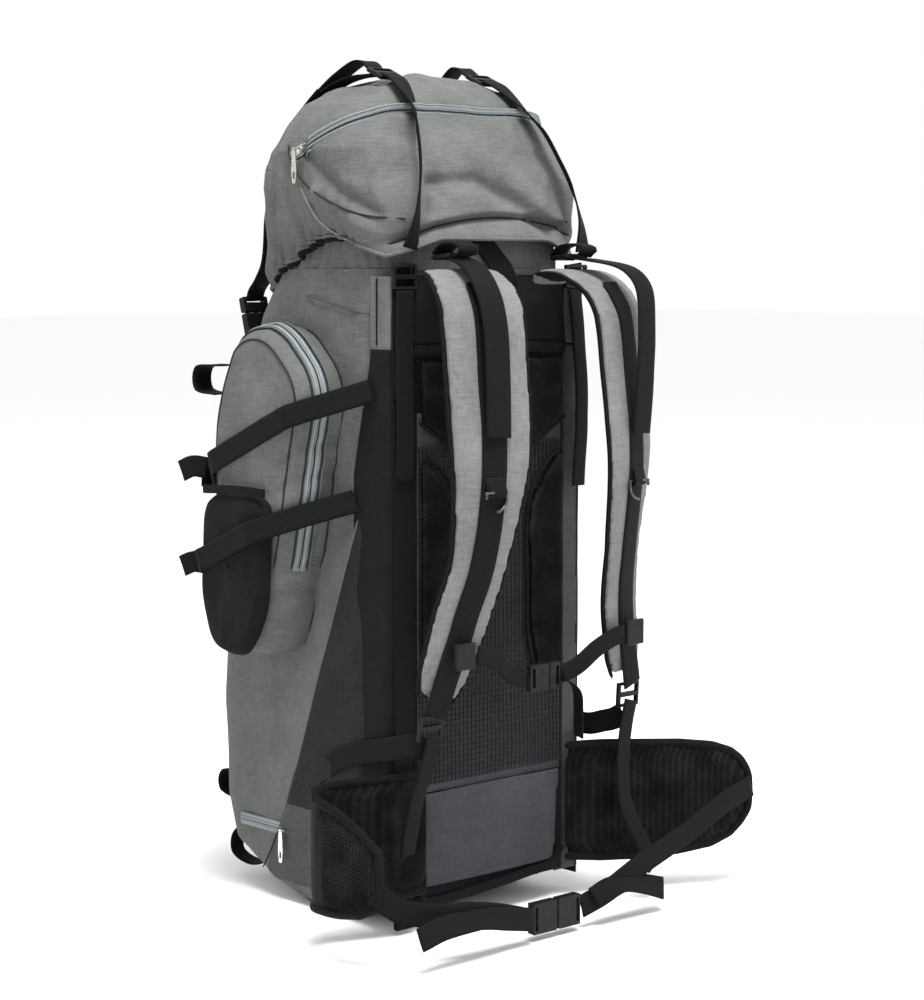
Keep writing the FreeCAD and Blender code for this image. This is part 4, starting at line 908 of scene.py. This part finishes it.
def make_lid():
    piece("lid_cloth", surface(300, 110, lid_point, wrap=True), grey, "lid", "grey_polyester", wall=1.4, outward=-1.0,
          stands_for=("lid_shell", "lid_floor"))

    arc = []
    zip_left, zip_right, zip_low, zip_tilt = 0.222, 0.778, 839.0, 0.488
    for k in range(81):
        t = zip_left + (zip_right - zip_left) * k / 80
        z = zip_low
        for _ in range(6):
            z = min(890.0, zip_low + (-10 - lid_point(t, lid_height(t, z))[1]) * zip_tilt)
        arc.append((t, z))
    middle = lid_line(arc, 1.2)
    ribbon("lid_zip_tape", middle, [Vector((0, -0.5, 1))] * len(middle), 15, 0.8, zip_grey, "lid", "zip_tape",
           lively=0.0, stands_for=("lid_zip",), spacing=8)
    # The thin dark cords between the raised zip lines are painted shade in the grooves.
    lines = ((-6.4, 1.1, zip_shade), (-3.6, 1.5, zip_grey), (-0.4, 1.1, zip_shade), (2.6, 1.5, zip_grey),
             (6.2, 1.3, grey))
    for number, (shift, radius, cloth) in enumerate(lines):
        line = [(x, y - 0.3 * shift, z + 0.9 * shift) for x, y, z in lid_line(arc, 2.0)]
        tube(f"lid_zip_line_{number}", line, radius, cloth, "lid", "zip_tape", spacing=8)
    hem = [lid_point(k / 240, 0.0, 0.2) for k in range(241)]
    tube("lid_hem_cord", hem, 2.2, grey, "lid", "grey_polyester", spacing=5)
    # A black cord under each gathered side of the hem: the hem's elastic, and painted shade under the ruffle.
    for word, start in (("left", 0.15), ("right", 0.72)):
        elastic = [(x * 0.972, y * 0.98, z - 3.0)
                   for x, y, z in (lid_point(start + 0.13 * k / 60, 0.0) for k in range(61))]
        tube("lid_elastic_shade_line_" + word, elastic, 3.4, black, "lid", "black_polyester", spacing=5)
    # A dark cord along the pleat: its seam, and painted shadow under the overhanging cloth.
    fold_line = []
    for k in range(41):
        t = 0.355 + 0.29 * k / 40
        fold_line.append((t, pleat_height(lid_point(t, lid_height(t, 765))[0])))
    tube("lid_pleat_seam_and_shadow", lid_line(fold_line, 0.8), 1.2, zip_shade, "lid", "grey_polyester", spacing=6)
    for word, side in (("left", -1), ("right", 1)):
        base = 0.25 if side < 0 else 0.75
        step = -side
        # The gusset seams, dark as painted shade in their grooves.
        seam = lid_line([(base + shift * step, z) for shift, z in (
            (-0.05, 846), (-0.035, 834), (0.0, 806), (0.045, 782), (0.085, 768), (0.13, 764))], 1.8)
        tube("lid_gusset_seam_and_shade_" + word, seam, 1.1, zip_shade, "lid", "grey_polyester")
        seam = lid_line([(base + shift * step, z) for shift, z in (
            (-0.005, 800), (0.012, 765), (0.03, 735), (0.052, 712))], 1.8)
        tube("lid_flap_edge_" + word, seam, 1.0, thread_grey, "lid", "grey_polyester")

    def straps(word, side):
        ribbon("lid_rear_strap_" + word, [(side * x, y, z) for x, y, z in (
            (72, -52, 921), (74, -66, 915), (78, -84, 901), (84, -102, 884), (93, -120, 862), (101, -134, 834),
            (110, -145, 804), (119, -151, 768), (126, -147, 733))],
            [Vector(a) for a in ((1, 0, 0), (1, 0.1, 0), (1, 0.4, 0), (1, 0.9, 0), (0.75, 1, 0),
                                 (0.75, 1, 0), (0.7, 0.9, 0), (1, 0.8, 0), (1, 0.2, 0))],
            [25, 25, 25, 23, 21, 20, 21, 24, 25], 1.8, body="lid")
        ribbon("lid_strap_hump_" + word, [(side * x, y, z) for x, y, z in (
            (71, -26, 928), (70, -13, 937), (72, 0, 937), (77, 22, 926), (82, 42, 911), (85, 54, 900))], (1, 0.1, 0),
            body="lid")
        ribbon("lid_strap_under_" + word, [(side * x, y, z) for x, y, z in (
            (71, -30, 922), (76, -6, 921), (80, 20, 916), (84, 42, 906))], (1, 0.1, 0), 24, 1.8, body="lid")
        ribbon("lid_front_strap_" + word, [(side * x, y, z) for x, y, z in (
            (84, 46, 908), (90, 66, 888), (97, 86, 862), (103, 103, 820), (107, 112, 770), (109, 116, 720),
            (110, 127, 700), (110, 140, 687), (110, 144, 676))], (1, 0.1, 0), body="lid")
        ribbon("lid_buckle_web_" + word, [(side * 110, 139, 628), (side * 110, 133, 612), (side * 110, 136, 596),
                                          (side * 110, 138, 572)], (1, 0, 0))
    both(straps)
    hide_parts("lid_straps")
    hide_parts("lid_strap_ends")
    ribbon("edge_strap_tail_right", [(124, -138, 690), (126, -142, 640), (128, -146, 560), (126, -143, 470)],
           (1, 0.2, 0), 23, 1.8)
    ribbon("edge_strap_tail_left", [(-126, -138, 690), (-127, -138, 640), (-127, -139, 560), (-127, -138, 490)],
           (1, 0, 0), 23, 1.8)


# ---------------------------------------------------------------- harness
YOKE = 690.0
# X and Y, height above the yoke, width, and turn in degrees, for the left strap from its top down.
STRAP = [(-74, -144, 2, 60, 0), (-75, -158, 14, 70, 2), (-86, -185, 17, 88, 8), (-95, -214, 2, 94, 14),
         (-99, -230, -25, 94, 16), (-101, -239, -90, 94, 16), (-102, -245, -142, 93, 16), (-103, -246, -193, 85, 16),
         (-106, -233, -277, 66, 16), (-118, -217, -341, 66, 14), (-134, -207, -400, 58, 10), (-142, -203, -426, 44, 8)]


def strap_line(side):
    points = [(-side * x if side > 0 else x, y, YOKE + z) for x, y, z, _, _ in STRAP]
    turns = [math.radians(turn) for _, _, _, _, turn in STRAP]
    across = [Vector((math.cos(t), math.sin(t) * side, 0)) for t in turns]
    return points, across, [float(w) for _, _, _, w, _ in STRAP]


def make_harness():
    def make(word, side):
        points, across, widths = strap_line(side)
        bm, route, wides = pad_form(points, across, widths, 7.5)
        form = filled("strap", bm, 2.6, voxel=3.6)
        samples = [frame_at(route, k / 120, wides) for k in range(121)]

        def nearest(p):
            return min(samples, key=lambda s: (s[0] - p).length_squared)

        def to_seam(p):
            point, along, wide, face, at = nearest(p)
            return abs(abs((p - point).dot(wide)) - by_point(widths, at) / 2 + 9)

        seams_in(form, to_seam, 0.9, 3.0)

        def choose(centre, normal):
            point, along, wide, face, at = nearest(centre)
            outward = face if face.dot(Vector((0, -1, 0.6))) > 0 else -face
            return 0 if (centre - point).dot(outward) > -1.6 and at > 0.5 else 1
        pad("shoulder_strap_" + word, form, [strap_grey, mesh_black], choose, "harness",
            ("shoulder_pad_" + word,))
        for number, sign in enumerate((-1, 1)):
            edge = []
            for point, along, wide, face, at in samples[3::3]:
                outward = face if face.dot(Vector((0, -1, 0.6))) > 0 else -face
                edge.append(tuple(point + wide * (sign * (by_point(widths, at) / 2 - 0.4)) - outward * 2.2))
            tube(f"shoulder_binding_{number}_{word}", edge, 2.2, binding, "harness", "black_polyester", squeeze=1.3,
                 across=(1, 0, 0))
        def above(i, lift, shift=0.0):
            p = Vector(points[i])
            _, along, wide, face, _ = min(samples, key=lambda s: (s[0] - p).length_squared)
            outward = face if face.y < 0 else -face
            return tuple(p + outward * lift + wide * shift)
        line = [above(i, 7.8) for i in range(3, 12)]
        end = Vector(line[-1]) + (Vector(points[-1]) - Vector(points[-2])).normalized() * 14
        ribbon("strap_webbing_" + word, line + [tuple(end)], across[3:] + [across[-1]], 28, 1.8, body="harness",
               stands_for=("strap_webbings",) if side < 0 else ())
        keeper = Vector(above(7, 9.6))
        ribbon("ring_keeper_" + word, [tuple(keeper + Vector((0, 0.6, 4))), tuple(keeper + Vector((0, -3.2, -9))),
                                       tuple(keeper + Vector((0, -3.4, -15))), tuple(keeper + Vector((0, 0.8, -17)))],
               across[7], 22, 1.4, body="harness", lively=0.1)
        if side < 0:
            upper = [(-84, -149, 724), (-88, -187, 721), (-97, -222, 706), (-101, -246, 672), (-103, -257, 600),
                     (-104, -259, 540)]
        else:
            upper = [(88, -149, 724), (94, -193, 722), (106, -238, 712), (110, -258, 690), (108, -264, 640),
                     (106, -264, 590), (103, -262, 536)]
        ribbon("load_lifter_" + word, upper, across[2], 30, 1.8, body="harness",
               stands_for=("load_lifters",) if side < 0 else ())
        x = side * 86
        ribbon("lifter_fold_" + word, [(x, -150, 727), (x, -160, 736), (x + side * 2, -178, 739),
                                       (x + side * 2, -196, 734), (x, -190, 726)], (1, 0.1 * side, 0), 25, 1.8,
               body="harness", lively=0.7)
    both(make)

    across_joint = [
        ribbon("lower_webbing_left", [(-149, -194, 214), (-151, -178, 216), (-147, -142, 207), (-145, -100, 197),
                                      (-145, -50, 181), (-144, 10, 146)], (0, 0.35, 1), body=None),
        ribbon("lower_webbing_right", [(148, -194, 214), (144, -182, 207), (145, -164, 202), (144, -146, 197),
                                       (145, -118, 194), (145, -60, 176), (144, 10, 148)], (0, 0.35, 1), body=None),
        ribbon("lower_tail_left", [(-147, -208, 232), (-150, -208, 218), (-156, -203, 190), (-161, -192, 150),
                                   (-164, -184, 102)], (1, 0.2, 0), 24, body="harness"),
        ribbon("lower_tail_right", [(147, -207, 232), (140, -207, 205), (134, -208, 165), (136, -210, 120),
                                    (152, -213, 82), (175, -217, 38)], (1, 0.2, 0), 24, body="harness")]
    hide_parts("lower_webbings")
    for loose, x in zip(across_joint[:2], (-0.146, 0.146)):
        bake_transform(loose)

    ribbon("sternum_web_left", [(-109, -232, 314), (-98, -232, 312), (-74, -229, 302), (-52, -224, 286),
                                (-30, -222, 279)], (0, 0, 1), 20, 1.8, body="sternum",
           stands_for=("sternum_webbing_left",))
    right = ribbon("sternum_web_right", [(22, -222, 278), (44, -224, 284), (68, -229, 300), (96, -232, 312),
                                         (109, -232, 314)], (0, 0, 1), 20, 1.8, body=None,
                   stands_for=("sternum_webbing_right",))
    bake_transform(right)
    ribbon("sternum_tail", [(20, -227.5, 275), (36, -231, 262), (43, -228, 240), (46, -226, 206)], (0.2, 1, 0.2),
           18, 1.5, body="sternum_prongs")


# ---------------------------------------------------------------- hip belt
def make_hip_belt():
    low, top, root = 45.0, 179.0, PANEL - 13.5
    right = [(0, 0, 0, 0), (0.19, -12, -5, -1), (0.40, -34, -6, -3), (0.60, -55, -3, -5), (0.78, -73, 3, -10),
             (0.88, -84, 14, -18), (0.95, -90, 28, -30), (1.0, -95, 50, -55)]
    left = [(0, 0, 0, 0), (-38, 4, -1, -1), (-72, 14, 0, -1), (-106, 26, 2, -3), (-128, 22, 4, -5), (-140, 2, 5, -8),
            (-139, -30, 6, -16), (-132, -58, 10, -34), (-122, -78, 20, -56)]
    rows = {"right": [(100, root, 0, 0)] + [(112 + 200 * s, root + y, a, b) for s, y, a, b in right],
            "left": [(-100, root, 0, 0)] + [(-112 + x, root + y, a, b) for x, y, a, b in left]}
    middle = (low + top) / 2
    for word in ("left", "right"):
        points = [(x, y, middle) for x, y, a, b in rows[word]]
        widths = [top + b - low - a for x, y, a, b in rows[word]]
        lifts = [(a + b) / 2 for x, y, a, b in rows[word]]
        bm, route, wides = pad_form(points, (0, 0, 1), widths, 7.0, lifts)
        form = filled("wing", bm, 2.8)
        samples = [frame_at(route, k / 80, wides) for k in range(81)]

        def to_seam(p, samples=samples, widths=widths, lifts=lifts):
            point, along, wide, face, at = min(samples, key=lambda s: (s[0] - p).xy.length_squared)
            return abs(abs(p.z - middle - by_point(lifts, at)) - by_point(widths, at) / 2 + 11)

        def choose(centre, normal, samples=samples):
            point, along, wide, face, at = min(samples, key=lambda s: (s[0] - centre).xy.length_squared)
            inner = face if face.y < 0 else -face
            return 0 if normal.dot(inner) > 0 else 1
        seams_in(form, to_seam, 1.2, 3.0)
        pad("hip_wing_pad_" + word, form, [mesh_black, black], choose, "hip_belt",
            ("hip_wing_" + word,))
        rim = []
        for edge in (1, -1):
            run = [point + Vector((0, 0, by_point(lifts, at) + edge * (by_point(widths, at) / 2 - 3)))
                   for point, _, _, _, at in samples[1::2]]
            rim += run if edge > 0 else run[::-1]
        tube("hip_wing_binding_" + word, [tuple(p) for p in rim], 4.6, binding, "hip_belt", "black_polyester",
             squeeze=1.1, across=(0.3, 1, 0.2))
    ribbon("hip_web_left", [(-52, -247, 26), (-90, -247, 38), (-132, -246, 47), (-176, -239, 52), (-214, -232, 62),
                            (-240, -221, 82)], (0, 0, 1), body="hip_belt", stands_for=("hip_webbing_left",))
    ribbon("hip_tail_left", [(-49, -254.5, 27), (-90, -256, 36), (-135, -258, 43), (-180, -260, 44), (-214, -262, 38)],
           [Vector(a) for a in ((0, 0.2, 1), (0, 0.4, 1), (0, 1, 0.8), (0, 0.6, 1), (0, 0.2, 1))], body="hip_belt")
    right = ribbon("hip_web_right", [(30, -247, 25), (66, -247, 33), (122, -250, 57), (192, -251, 80), (252, -251, 104),
                                     (304, -249, 118)], (0, 0.1, 1), body=None, stands_for=("hip_webbing_right",))
    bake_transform(right)
    ribbon("hip_tail_right", [(44, -252.5, 32), (80, -254, 42), (110, -255, 38), (150, -256, 26)],
           [Vector(a) for a in ((0, 0.4, 1), (0, 1, 0.6), (0, 0.8, 1), (0, 0.3, 1))], body="hip_prongs")


# ---------------------------------------------------------------- zips and hard parts
def make_bottom_zip():
    tape = surface(4, 40, lambda u, v: (-142.2 - 1.2 * math.sin(math.pi * u), 36 + 98 * v, 77 + 14 * u), (14, 98))
    piece("bottom_zip_tape", tape, zip_grey, "pack", "zip_tape", wall=1.0, stands_for=("bottom_zip",))
    for number, z in enumerate((82.2, 85.8)):
        tube(f"bottom_zip_line_{number}", [(-144, 36, z), (-144.4, 80, z), (-144, 134, z)], 1.1, zip_grey, "pack",
             "zip_tape")


def dress(names, material):
    """Gives CAD parts their finish."""
    for name in names:
        slots = nodes[name].data.materials
        slots.clear()
        slots.append(material)


make_bag()
make_back()
make_pockets()
make_front()
make_lid()
make_harness()
make_hip_belt()
make_bottom_zip()
dress(["lid_locks", "pack_locks", "harness_locks", "lid_buckle_sockets", "lid_buckle_prongs", "sternum_sliders",
       "sternum_socket", "sternum_prongs", "hip_socket", "hip_prongs"], acetal)
dress(["d_ring_left", "d_ring_right"], steel_black)
dress(["lid_slider", "lid_pull", "pocket_slider_left", "pocket_slider_right", "pocket_pull_left", "pocket_pull_right",
       "bottom_slider", "bottom_pull"], zinc)
dress(["frame_stays"], bar_metal)


# ---------------------------------------------------------------- studio
def studio():
    material, tree = started("studio_paper")
    place = add(tree, "TexCoord").outputs["Object"]
    grain = add(tree, "TexNoise", {"Vector": place, "Scale": 60.0, "Detail": 3.0})
    bump = add(tree, "Bump", {"Height": grain.outputs[0], "Strength": 0.02, "Distance": 0.001})
    shaded(tree, grain.outputs[0], "#f8f8f7", "#fcfcfb", 0.3, 0.7, bump, Roughness=0.9)
    bm = bmesh.new()
    bmesh.ops.create_grid(bm, x_segments=2, y_segments=2, size=30)
    mesh = bpy.data.meshes.new("floor")
    bm.to_mesh(mesh)
    bm.free()
    mesh.materials.append(material)
    floor = bpy.data.objects.new("floor", mesh)
    bpy.context.scene.collection.objects.link(floor)

    world = bpy.data.worlds.new("studio")
    bpy.context.scene.world = world
    world.use_nodes = True
    world.node_tree.nodes["Background"].inputs["Color"].default_value = (1.0, 1.0, 1.0, 1.0)
    world.node_tree.nodes["Background"].inputs["Strength"].default_value = 1.0

    def lamp(name, place, aim, size, power):
        light = bpy.data.lights.new(name, "AREA")
        light.size, light.energy = size, power
        obj = bpy.data.objects.new(name, light)
        obj.location = place
        obj.rotation_euler = (Vector(aim) - Vector(place)).to_track_quat("-Z", "Y").to_euler()
        bpy.context.scene.collection.objects.link(obj)

    lamp("key", (-0.6, -1.2, 3.4), (0, 0, 0.5), 1.3, 200)
    lamp("fill", (2.2, -2.0, 1.4), (0, 0, 0.4), 2.0, 20)

    camera = bpy.data.cameras.new("camera")
    camera.lens, camera.sensor_width = 84.1, 36.0
    eye = bpy.data.objects.new("camera", camera)
    right = Vector((0.743, -0.669, 0.0)).normalized()
    forward = Vector((0.66594, 0.73960, -0.09758)).normalized()
    up = right.cross(forward)
    turn = Matrix((right, up, -forward)).transposed()
    eye.matrix_world = Matrix.Translation((-1.722, -2.000, 0.710)) @ turn.to_4x4()
    bpy.context.scene.collection.objects.link(eye)
    bpy.context.scene.camera = eye
    bpy.context.scene.view_settings.view_transform = "Standard"


studio()
